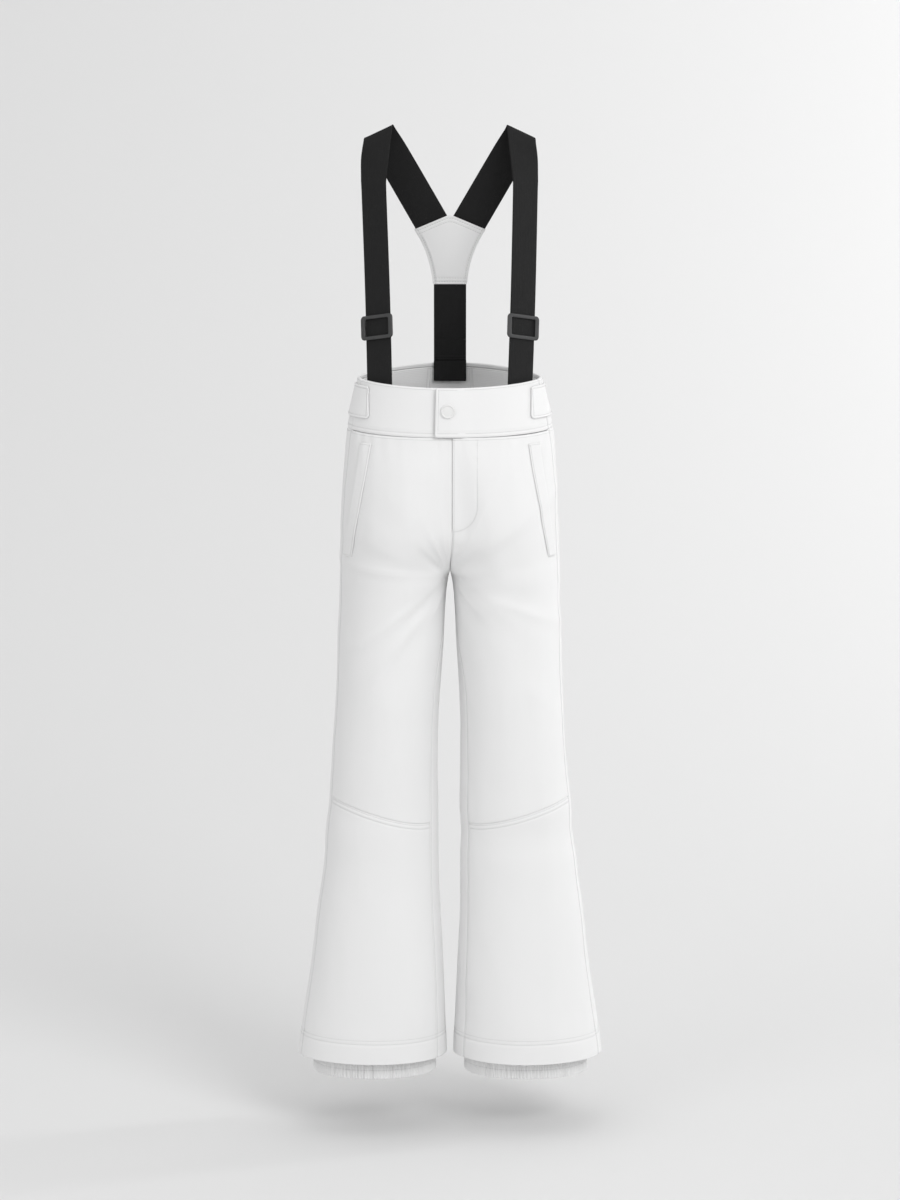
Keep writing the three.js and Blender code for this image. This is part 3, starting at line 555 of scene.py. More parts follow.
@dataclass
class Cloth:
    """A piece of cloth: a grid of outer points with their outward normals, and a thickness."""

    name: str
    outer: Array
    normal: Array
    thick: float = 0.0014
    rim: float = 0.0  # how far the rounded edge stands out, as a share of the thickness
    closed: bool = False  # the columns meet round a ring

    def lower(self, depth: Array) -> None:
        """Moves the outer points inwards."""
        self.outer = self.outer - self.normal * depth[..., None]

    def to_edge(self, edge: str) -> Array:
        """Distance of every point along the cloth from one edge.

        Args:
            edge: "start" or "end" of the columns, "top" or "foot" of the rows.

        Returns:
            A distance for each point of the grid.
        """
        run = run_length(self.outer, 1 if edge in ("start", "end") else 0)
        if edge == "end":
            return run[:, -1:] - run
        return run[-1:, :] - run if edge == "foot" else run

    def line(self, edge: str, distance: float, lift: float = 0.00012) -> Array:
        """A line along an edge, at a distance from it.

        Args:
            edge: As in to_edge.
            distance: Distance from the edge.
            lift: Height over the cloth.

        Returns:
            The line's points.
        """
        away = self.to_edge(edge)
        points = self.outer + self.normal * lift
        if edge in ("top", "foot"):
            away = away.T
            points = points.transpose(1, 0, 2)
        if edge in ("end", "foot"):
            away = away[:, ::-1]
            points = points[:, ::-1]
        return np.array([
            [np.interp(distance, gaps, row[:, k]) for k in range(3)]
            for gaps, row in zip(away, points)
        ])

    def frame_line(self, distance: float) -> Array:
        """A closed line round the piece, inside all four edges."""
        run_u, run_v = run_length(self.outer, 1), run_length(self.outer, 0)
        rows, columns = self.outer.shape[:2]
        u0, u1 = distance, float(run_u[rows // 2, -1]) - distance
        v0, v1 = distance, float(run_v[-1, columns // 2]) - distance
        along = np.linspace(0, 1, 40)
        sides = [
            np.stack([mix(u0, u1, along), np.full(40, v0)], 1),
            np.stack([np.full(40, u1), mix(v0, v1, along)], 1),
            np.stack([mix(u1, u0, along), np.full(40, v1)], 1),
            np.stack([np.full(40, u0), mix(v1, v0, along)], 1),
        ]
        return np.concatenate([self.spot(side) for side in sides])

    def spot(self, places: Array, lift: float = 0.00012) -> Array:
        """Points on the cloth at distances along its columns and rows.

        Args:
            places: Rows of two distances, across and down.
            lift: Height over the cloth.

        Returns:
            Rows of coordinates.
        """
        rows, columns = self.outer.shape[:2]
        across = run_length(self.outer, 1)[rows // 2]
        down = run_length(self.outer, 0)[:, columns // 2]
        c = np.interp(places[:, 0], across, np.arange(columns))
        r = np.interp(places[:, 1], down, np.arange(rows))
        c0, r0 = np.minimum(c.astype(int), columns - 2), np.minimum(r.astype(int), rows - 2)
        fc, fr = (c - c0)[:, None], (r - r0)[:, None]
        points = self.outer + self.normal * lift
        near = mix(points[r0, c0], points[r0, c0 + 1], fc)
        far = mix(points[r0 + 1, c0], points[r0 + 1, c0 + 1], fc)
        return mix(near, far, fr)

    def area(self) -> float:
        """Area of the outer face."""
        a = self.outer[1:, 1:] - self.outer[:-1, :-1]
        b = self.outer[1:, :-1] - self.outer[:-1, 1:]
        return float(np.linalg.norm(np.cross(a, b), axis=-1).sum() / 2)

    def build(self, material: bpy.types.Material) -> bpy.types.Object:
        """Makes the closed mesh, with a UV map in metres.

        Args:
            material: The piece's material.

        Returns:
            The new object.
        """
        rows, columns = self.outer.shape[:2]
        inner = self.outer - self.normal * self.thick
        count = rows * columns
        outer_index = np.arange(count).reshape(rows, columns)
        middle = self.outer - self.normal * self.thick / 2
        rims: list[Array] = []
        faces: list[Array] = []

        def quads(a: Array, b: Array) -> Array:
            """Quads between two rows of vertex numbers."""
            return np.stack([a[:-1], a[1:], b[1:], b[:-1]], axis=-1).reshape(-1, 4)

        wrap = np.concatenate([outer_index, outer_index[:, :1]], 1) if self.closed else outer_index
        faces += [grid_faces(wrap), grid_faces(wrap + count, over=True)]
        if self.closed:
            top_away, foot_away = self.outer[0] - self.outer[1], self.outer[-1] - self.outer[-2]
            loops = [(wrap[0], top_away), (wrap[-1][::-1], foot_away[::-1])]
        else:
            ring = np.concatenate([
                outer_index[0], outer_index[1:, -1], outer_index[-1, -2::-1], outer_index[-2::-1, 0],
            ])
            away = np.zeros_like(self.outer)
            away[0] += unit(self.outer[0] - self.outer[1])
            away[-1] += unit(self.outer[-1] - self.outer[-2])
            away[:, 0] += unit(self.outer[:, 0] - self.outer[:, 1])
            away[:, -1] += unit(self.outer[:, -1] - self.outer[:, -2])
            loops = [(ring, unit(away.reshape(-1, 3)[ring]))]
        base = 2 * count
        for loop, away in loops:
            body = loop[:-1]
            if self.closed:
                away = unit(away)
            else:
                away = away[:-1]
            mid = middle.reshape(-1, 3)[body] + away * self.rim * self.thick
            mid_index = np.arange(base, base + len(body))
            base += len(body)
            rims.append(mid)
            mid_ring = np.append(mid_index, mid_index[0])
            faces.append(quads(loop, mid_ring))
            faces.append(quads(mid_ring, loop + count))
        vertices = np.concatenate([self.outer.reshape(-1, 3), inner.reshape(-1, 3), *rims])
        table = np.concatenate(faces)
        corner, below, across = (vertices[faces[0][:, k]] for k in range(3))
        facing = np.cross(below - corner, across - corner)
        if (facing * self.normal.reshape(-1, 3)[faces[0][:, 0]]).sum() < 0:
            table = table[:, ::-1]
        obj = write_mesh(self.name, vertices, table, material)
        self.write_uv(obj, len(vertices))
        return obj

    def write_uv(self, obj: bpy.types.Object, total: int) -> None:
        """Writes the distances across and down the cloth as its UV map."""
        across = run_length(self.outer, 1)
        down = run_length(self.outer, 0)
        flat = np.stack([across, down], -1).reshape(-1, 2)
        place = np.concatenate([flat, flat, np.zeros((total - 2 * len(flat), 2))])
        layer = obj.data.uv_layers.new(name="cloth")
        corners = np.empty(len(obj.data.loops), dtype=np.int64)
        obj.data.loops.foreach_get("vertex_index", corners)
        layer.data.foreach_set("uv", place[corners].astype(np.float32).ravel())


# -------------------------------------------------------------------------------- seams


class Sewing:
    """Sews every row of stitches with one Geometry Nodes tree."""

    PITCH = 0.0032
    LENGTH = 0.0024
    THICKNESS = 0.00048

    def __init__(self, wardrobe: Wardrobe) -> None:
        """Builds the tree and starts with no rows."""
        self.wardrobe = wardrobe
        self.rows: dict[str, list[Array]] = {}
        self.tree = self.make_tree()

    def make_tree(self) -> bpy.types.NodeTree:
        """Builds the tree: stitches stand along each line at an even pitch.

        Returns:
            The node group.
        """
        tree = bpy.data.node_groups.new("stitch_row", "GeometryNodeTree")
        face = tree.interface
        face.new_socket(name="Geometry", in_out="INPUT", socket_type="NodeSocketGeometry")
        for label in ("Pitch", "Length", "Thickness"):
            face.new_socket(name=label, in_out="INPUT", socket_type="NodeSocketFloat")
        face.new_socket(name="Thread", in_out="INPUT", socket_type="NodeSocketMaterial")
        face.new_socket(name="Geometry", in_out="OUTPUT", socket_type="NodeSocketGeometry")
        add, link = tree.nodes.new, tree.links.new
        given, result = add("NodeGroupInput"), add("NodeGroupOutput")
        to_curve = add("GeometryNodeMeshToCurve")
        resample = add("GeometryNodeResampleCurve")
        resample.mode = "LENGTH"
        bead = add("GeometryNodeMeshUVSphere")
        bead.inputs["Segments"].default_value = 6
        bead.inputs["Rings"].default_value = 4
        bead.inputs["Radius"].default_value = 0.5
        size = add("ShaderNodeCombineXYZ")
        shape = add("GeometryNodeTransform")
        tangent = add("GeometryNodeInputTangent")
        turn = add("FunctionNodeAlignRotationToVector")
        turn.axis = "X"
        place = add("GeometryNodeInstanceOnPoints")
        realize, dress = add("GeometryNodeRealizeInstances"), add("GeometryNodeSetMaterial")
        link(given.outputs["Geometry"], to_curve.inputs[0])
        link(to_curve.outputs[0], resample.inputs["Curve"])
        link(given.outputs["Pitch"], resample.inputs["Length"])
        link(given.outputs["Length"], size.inputs["X"])
        link(given.outputs["Thickness"], size.inputs["Y"])
        link(given.outputs["Thickness"], size.inputs["Z"])
        link(bead.outputs["Mesh"], shape.inputs["Geometry"])
        link(size.outputs["Vector"], shape.inputs["Scale"])
        link(tangent.outputs["Tangent"], turn.inputs["Vector"])
        link(resample.outputs[0], place.inputs["Points"])
        link(shape.outputs[0], place.inputs["Instance"])
        link(turn.outputs[0], place.inputs["Rotation"])
        link(place.outputs[0], realize.inputs[0])
        link(realize.outputs[0], dress.inputs["Geometry"])
        link(given.outputs["Thread"], dress.inputs["Material"])
        link(dress.outputs[0], result.inputs[0])
        return tree

    def row(self, group: str, points: Array) -> None:
        """Adds a row of stitches to a group of rows that becomes one piece."""
        self.rows.setdefault(group, []).append(np.asarray(points, float))

    # The default thread is the grey one, whose grey is painted shade.
    def sew(self, group: str, thread: Finish = THREAD_PAINTED_SHADE) -> bpy.types.Object:
        """Makes a group's stitches.

        Args:
            group: The group's name.
            thread: The finish of the thread.

        Returns:
            A plain mesh object with every stitch.
        """
        points = np.concatenate(self.rows[group])
        edges: list[tuple[int, int]] = []
        start = 0
        for row in self.rows[group]:
            edges += [(start + i, start + i + 1) for i in range(len(row) - 1)]
            start += len(row)
        lines = bpy.data.meshes.new(f"{group}_lines")
        lines.from_pydata(points.tolist(), edges, [])
        guide = add_object(f"{group}_guide", lines)
        modifier = guide.modifiers.new("stitches", "NODES")
        modifier.node_group = self.tree
        values = {
            "Pitch": self.PITCH,
            "Length": self.LENGTH,
            "Thickness": self.THICKNESS,
            "Thread": self.wardrobe.get(thread),
        }
        for item in self.tree.interface.items_tree:
            if item.in_out == "INPUT" and item.name in values:
                modifier[item.identifier] = values[item.name]
        graph = bpy.context.evaluated_depsgraph_get()
        mesh = bpy.data.meshes.new_from_object(guide.evaluated_get(graph))
        guide.modifiers.clear()
        bpy.data.objects.remove(guide)
        mesh.name = group
        return add_object(group, mesh)


# ----------------------------------------------------------------------------- trousers


@dataclass
class Trousers:
    """The two legs and the seat: front and back panels, pockets and the fly's stitching."""

    form: BodyForm
    wardrobe: Wardrobe
    sewing: Sewing
    cloth: float = 0.0014
    groove: float = 0.0010
    groove_width: float = 0.0013
    row_groove: float = 0.00055
    stitch_rows: tuple[float, float] = (0.0018, 0.0068)
    hem_rows: tuple[float, float] = (0.026, 0.031)
    bend_reach: float = 0.080  # half the height over which a knee bends
    fly_size: tuple[float, float] = (0.0325, 0.034)  # width of the facing and height of its curve
    fly_foot: float = -0.184
    welt_z: tuple[float, float] = (-0.076, -0.218)
    welt_x: tuple[float, float] = (0.103, 0.1265)
    welt_width: tuple[float, float] = (0.0125, 0.0085)
    bag_x: tuple[float, float] = (0.046, 0.121)
    bag_z: tuple[float, float] = (-0.085, -0.231)
    bag_inset: float = 0.0036
    tape_x: tuple[float, float] = (0.0037, 0.0238)
    tape_y: float = -0.0709
    tape_z: tuple[float, float] = (-0.0705, -0.1835)
    underlap: float = 0.002  # how far the right front runs on under the left one at the fly

    def folds(self, side: Side, points: Array, turn: Array, z: Array) -> Array:
        """How far the cloth stands out from the body form.

        Args:
            side: Left or right.
            points: Points on the form.
            turn: Degrees round the leg.
            z: Heights.

        Returns:
            One distance for each point, positive outwards.
        """
        flat = points.reshape(-1, 3)
        seed = 11 if side is Side.LEFT else 29
        shape = points.shape[:-1]
        x = side.value * points[..., 0]

        def layer(number: int, scale: Sequence[float]) -> Array:
            """One noise over the cloth."""
            return Noise(seed + number).at(flat * np.array(scale)).reshape(shape)

        soft = 1.7 * layer(1, (9, 9, 4)) + 0.9 * layer(2, (21, 21, 8)) + 0.3 * layer(3, (55, 55, 22))
        down = self.form.crotch_z - z
        reach = np.hypot(x, down)
        angle = np.degrees(np.arctan2(down, x))
        rays = np.stack([angle / 15.0, reach / 0.11, 0 * x], -1).reshape(-1, 3)
        front, back = (Noise(seed + number).at(rays).reshape(shape) for number in (5, 6))
        drag = mix(front, back, smooth((points[..., 1] + 0.03) / 0.06))
        pull = 1.7 * (1 - 2.0 * np.sqrt(drag * drag + 0.01)) * np.exp(-((reach - 0.05) / 0.13) ** 2)
        knee = 1.6 * layer(7, (6, 6, 26)) * np.exp(-((z - self.form.knee_z) / 0.075) ** 2)
        flare = 2.2 * np.cos(np.radians(3 * turn + 40 * side.value)) * smooth((-0.62 - z) / 0.22)
        near_band = 0.7 * np.sin(points[..., 0] * 420 + 3 * layer(8, (30, 30, 1)))
        near_band = near_band * np.exp((z - self.form.band_foot_z) / 0.022)
        total = (soft + pull + knee + flare - 0.6) * smooth((self.form.band_foot_z - z) / 0.05)
        hem = 1 - 0.6 * smooth((-0.80 - z) / 0.05)
        return (total * hem + near_band) * MM * smooth((x - 0.001) / 0.016)

    def skin(self, side: Side, turn: Array, z: Array, seam_x: Array | float = None) -> tuple[Array, Array]:
        """Points on the draped cloth and their outward normals.

        Args:
            side: Left or right.
            turn: Degrees round the leg.
            z: Heights.
            seam_x: Where the panel ends at the centre.

        Returns:
            Points and unit normals.
        """
        points = self.form.leg(side, turn, z, 0.0, seam_x)
        step_t, step_z = 1.0, 0.003
        inner = np.abs((turn + 180) % 360 - 180) > 178.9
        near = np.where(inner, np.where(turn > 0, 178.5, -178.5), turn)
        along = self.form.leg(side, near + step_t, z) - self.form.leg(side, near - step_t, z)
        down = self.form.leg(side, near, z + step_z) - self.form.leg(side, near, z - step_z)
        normal = unit(np.cross(along, down)) * -side.value
        above = z > self.form.crotch_z
        keep = np.where(above, smooth((side.value * points[..., 0] - 0.002) / 0.012), 1.0)
        normal[..., 0] *= keep
        normal = unit(normal)
        return points + normal * self.folds(side, points, turn, z)[..., None], normal

    def panel_turn(self, face: Face, z: Array, across: Array) -> Array:
        """Degrees round the leg, from the side seam to the inseam."""
        end = self.form.inseam_turn(z) - (0 if face is Face.FRONT else 360)
        return mix(self.form.side_seam, end, across)

    def panel(self, side: Side, face: Face, name: str, part: str, columns: int, rows: int) -> Cloth:
        """Cuts one panel.

        Args:
            side: Left or right.
            face: Front or back.
            name: The piece's name.
            part: "thigh", "shin" or "leg" for both.
            columns: Steps across.
            rows: Steps down.

        Returns:
            The draped panel, with its seams pressed in.
        """
        u, v = np.meshgrid(graded(columns), graded(rows))
        form = self.form
        line = form.knee_line(self.panel_turn(face, np.full_like(u, form.knee_z), u))
        if face is Face.FRONT:
            top_turn = self.panel_turn(face, np.full_like(u, form.band_foot_z), u)
            drop = 0.003 * np.sin(np.radians(np.minimum(top_turn, 90)))
        else:
            drop = np.zeros_like(u)
        top = line if part == "shin" else form.band_foot_z - 0.0002 - drop
        foot = line if part == "thigh" else np.full_like(u, form.hem_z)
        z = mix(top, foot, v)
        turn = self.panel_turn(face, z, u)
        seam_x = form.seam_x + (side.value * form.fly_shift(z) if face is Face.FRONT else 0.0)
        if face is Face.FRONT and side is Side.RIGHT:
            seam_x = seam_x - self.underlap * smooth((z - self.fly_foot) / 0.006)
        points, normal = self.skin(side, turn, z, seam_x)
        panel = Cloth(name, points, normal, self.cloth)
        start, end = panel.to_edge("start"), panel.to_edge("end")
        depth = self.press(start) + self.press(end)
        pucker = Noise(77).at((points * np.array([90, 90, 60])).reshape(-1, 3)).reshape(z.shape)
        for away in (start, end):
            depth += 0.00035 * pucker * np.exp(-(away / 0.009) ** 2)
        if part == "thigh":
            depth += self.press(panel.to_edge("foot"))
        if part == "shin":
            seam = panel.to_edge("top")
            depth += self.press(seam) + sum(self.press_row(seam - row) for row in self.stitch_rows)
        if part != "thigh":
            hem = panel.to_edge("foot")
            depth += sum(1.5 * self.press_row(hem - row) for row in self.hem_rows)
            depth -= 0.0005 * smooth((self.hem_rows[1] + 0.002 - hem) / 0.002)
        if face is Face.BACK:
            depth += self.press_row(start - self.stitch_rows[0]) + self.press_row(end - self.stitch_rows[0])
        if part == "thigh":
            depth += self.press_fly(side, points[..., 0], z, end)
            depth += self.press_welt(np.abs(points[..., 0]), z)
        band = panel.to_edge("top") if part != "shin" else np.ones_like(z)
        depth += 0.0008 * np.exp(-(band / 0.002) ** 2)
        panel.lower(depth)
        return panel

    def fly_reach(self, x: Array, z: Array) -> Array:
        """Distance inside the J-shaped edge of the fly's facing, which is sewn through the front."""
        width, curve = self.fly_size
        middle = self.fly_foot + curve
        below = np.minimum(0, z - middle) / curve
        return width * (1 - np.hypot((x - self.form.fly_x) / width, below))

    def press_fly(self, side: Side, x: Array, z: Array, away: Array) -> Array:
        """Depth of the cloth at the fly, where the left front laps over the right one."""
        along = smooth((z - self.fly_foot) / 0.006)
        if side is Side.RIGHT:
            under = 0.0011 * smooth((self.underlap + 0.0006 - away) / 0.0010)
            return along * (under - self.press(away))
        inside = self.fly_reach(x, z)
        raised = 0.0008 * smooth(inside / 0.0020)
        edge = self.press(away) + 0.0004 * np.exp(-(away / 0.0050) ** 2)
        return 1.6 * self.press_row(inside - 0.0022) - raised - along * edge

    def welt_line(self, z: Array) -> tuple[Array, Array]:
        """Middle and width of the pocket welt at a height."""
        down = (z - self.welt_z[0]) / (self.welt_z[1] - self.welt_z[0])
        return mix(*self.welt_x, down), mix(*self.welt_width, down)

    def press_welt(self, x: Array, z: Array) -> Array:
        """Depth of the cloth beside the pocket's welt."""
        middle, width = self.welt_line(z)
        within = smooth((self.welt_z[0] - z) / 0.002) * smooth((z - self.welt_z[1]) / 0.002)
        return 0.0008 * within * np.exp(-((np.abs(x - middle) - width / 2) / 0.0016) ** 2)

    def press(self, away: Array) -> Array:
        """Depth of the valley along a seam."""
        return self.groove * np.exp(-(away / self.groove_width) ** 2)

    def press_row(self, away: Array) -> Array:
        """Depth of the dent along a row of stitches."""
        return self.row_groove * np.exp(-(away / self.groove_width) ** 2)

    def bend(self, piece: bpy.types.Object, side: Side) -> None:
        """Bakes a leg piece's transform into its mesh."""
        x = knee_place(side)[0]
        f"lower_leg_{side.label}"
        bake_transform(piece)

    def finish_panel(self, panel: Cloth, side: Side, replaced: Sequence[str]) -> None:
        """Makes a panel's mesh and bakes its transform."""
        piece = make_sheet(panel, self.wardrobe, SOFTSHELL, replaced)
        self.bend(piece, side)

    def build_leg(self, side: Side) -> None:
        """Builds a leg's panels, its pocket welt and their stitches."""
        label = side.label
        thigh = self.panel(side, Face.FRONT, f"thigh_front_{label}", "thigh", 84, 190)
        shin = self.panel(side, Face.FRONT, f"shin_front_{label}", "shin", 84, 130)
        back = self.panel(side, Face.BACK, f"leg_back_{label}", "leg", 104, 290)
        self.finish_panel(thigh, side, [f"front_thigh_{label}"])
        self.finish_panel(shin, side, [f"front_shin_{label}"])
        behind = ("back_thigh", "knee_crease", "back_shin", "hem_band")
        self.finish_panel(back, side, [f"{node}_{label}" for node in behind])
        group = f"leg_stitches_{label}"
        near, far = self.stitch_rows
        for edge in ("start", "end"):
            self.sewing.row(group, back.line(edge, near)[3:-2])
        for distance in (near, far):
            self.sewing.row(group, shin.line("top", distance)[2:-2])
        for distance in self.hem_rows:
            self.sewing.row(group, shin.line("foot", distance))
            self.sewing.row(group, back.line("foot", distance))
        for panel in (thigh, back):
            self.sewing.row(group, panel.line("top", 0.0030)[1:-1])
        if side is Side.LEFT:
            seat = thigh.line("end", near)
            self.sewing.row(group, seat[seat[:, 2] > self.form.crotch_z + 0.006])
            self.sew_fly(group)
        self.build_pocket(side, group)
        stitches = self.sewing.sew(group)
        self.bend(stitches, side)

    def turn_at(self, x: Array, z: Array) -> Array:
        """Degrees round the leg at which the front reaches x."""
        centre, half_width, _, _ = self.form.section(z)
        outer = np.degrees(np.arccos(np.clip((x - centre) / (half_width - centre), -1, 1)))
        share = (centre - x) / np.maximum(centre - self.form.seam_x, 1e-6)
        inner = 90 + np.degrees(np.arcsin(np.clip(share, -1, 1)))
        return np.where(x > centre, outer, inner)

    def sew_fly(self, group: str) -> None:
        """Sews the J-shaped row that holds the fly's facing."""
        width, curve = self.fly_size
        straight = np.linspace(self.form.band_foot_z - 0.006, self.fly_foot + curve, 40)
        angle = np.linspace(0, math.pi / 2, 30)
        reach = width - 0.0022
        x = np.concatenate([np.full(40, reach), reach * np.cos(angle)]) + self.form.fly_x
        z = np.concatenate([straight, self.fly_foot + curve - (curve - 0.0022) * np.sin(angle)])
        points, normal = self.skin(Side.LEFT, self.turn_at(x, z), z)
        self.sewing.row(group, points + normal * 0.0003)

    def build_pocket(self, side: Side, group: str) -> None:
        """Lays the pocket's welt on the front and sews round it."""
        v, u = np.meshgrid(np.linspace(0, 1, 90), np.linspace(0, 1, 13), indexing="ij")
        z = mix(*self.welt_z, v)
        middle, width = self.welt_line(z)
        x = middle + (u - 0.5) * width
        points, normal = self.skin(side, self.turn_at(x, z), z)
        crown = 0.0010 + 0.0011 * u + 0.0003 * np.sqrt(np.maximum(0, 1 - (2 * u - 1) ** 4))
        welt = Cloth(f"welt_{side.label}", points + normal * crown[..., None], normal, 0.0014, rim=0.4)
        make_sheet(welt, self.wardrobe, SOFTSHELL, [f"pocket_welt_{side.label}"], "trousers")
        for edge in ("top", "foot"):
            self.sewing.row(group, welt.line(edge, 0.0016)[1:-1])
        self.sewing.row(group, welt.line("start", 0.0014)[2:-2])

    def build_pocket_bag(self, side: Side) -> None:
        """Hangs the pocket's bag behind the front."""
        v, u = np.meshgrid(graded(60, 0.6), graded(40, 0.6) * 2 - 1, indexing="ij")
        left, right = self.bag_x
        half = (right - left) / 2 * np.sqrt(1 - 0.55 * np.clip((v - 0.8) / 0.2, 0, 1) ** 2)
        z = mix(*self.bag_z, v)
        x = (left + right) / 2 + u * half
        points, normal = self.skin(side, self.turn_at(x, z), z)
        ripple = Noise(41).at((points * 38).reshape(-1, 3)).reshape(x.shape)
        inset = self.bag_inset + 0.0005 * ripple
        bag = Cloth(f"pocket_cloth_{side.label}", points - normal * inset[..., None], normal, 0.0012, rim=0.4)
        make_sheet(bag, self.wardrobe, TAFFETA, [f"pocket_bag_{side.label}"], "trousers")

    def build_tape(self, side: Side) -> None:
        """Lays a zip's tape from its teeth back to the front."""
        v, u = np.meshgrid(graded(60, 0.6), graded(16, 0.6), indexing="ij")
        z = mix(*self.tape_z, v)
        centre = sum(corner[0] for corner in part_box("zip_slider")) / 2
        x = centre + side.value * mix(*self.tape_x, u)
        points, normal = self.skin(side, self.turn_at(np.abs(x), z), z)
        points[..., 1] = mix(self.tape_y, points[..., 1] + self.bag_inset, smooth(u))
        points[..., 0] = x
        points[..., 2] = z
        tape = Cloth(f"zip_tape_cloth_{side.label}", points, normal, 0.0008, rim=0.4)
        make_sheet(tape, self.wardrobe, TAFFETA, [f"zip_tape_{side.label}"], "trousers")

    def build_shield(self) -> None:
        """Hangs the shield behind the zip."""
        low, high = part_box("fly_shield")
        v, u = np.meshgrid(graded(60, 0.6), graded(24, 0.6), indexing="ij")
        x, z = mix(low[0], high[0], u), mix(high[2], low[2], v)
        points = np.stack([x, 0 * x + low[1], z], -1)
        normal = np.broadcast_to(np.array([0.0, -1.0, 0.0]), points.shape).copy()
        shield = Cloth("fly_shield_cloth", points, normal, high[1] - low[1], rim=0.4)
        make_sheet(shield, self.wardrobe, SOFTSHELL, ["fly_shield"], "trousers")

    def build(self) -> None:
        """Builds both legs and what hangs inside them."""
        for side in Side:
            self.build_leg(side)
            self.build_pocket_bag(side)
            self.build_tape(side)
            LOG.info("the %s leg is built", side.label)
        self.build_shield()


def knee_place(side: Side) -> Sequence[float]:
    """The knee joint's place, from the frame."""
    joints = {joint["name"]: joint for joint in FRAME["joints"]}
    return joints[f"knee_{side.label}"]["pos_m"]


def make_sheet(cloth: Cloth, wardrobe: Wardrobe, finish: Finish, replaced: Sequence[str],
               body: str | None = None) -> bpy.types.Object:
    """Makes a cloth's mesh, hangs it on its body and hides the CAD nodes that it stands for.

    Args:
        cloth: The piece.
        wardrobe: Where its material comes from.
        finish: What it wears.
        replaced: The CAD nodes that it stands for.
        body: What it rides on, if anything.

    Returns:
        The new object.
    """
    piece = cloth.build(wardrobe.get(finish))
    if body:
        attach(piece, body)
    if replaced:
        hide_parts(*replaced)
    LOG.info("%s: %.1f cm2 of cloth", cloth.name, cloth.area() * 1e4)
    return piece


# ---------------------------------------------------------------------------- waistband


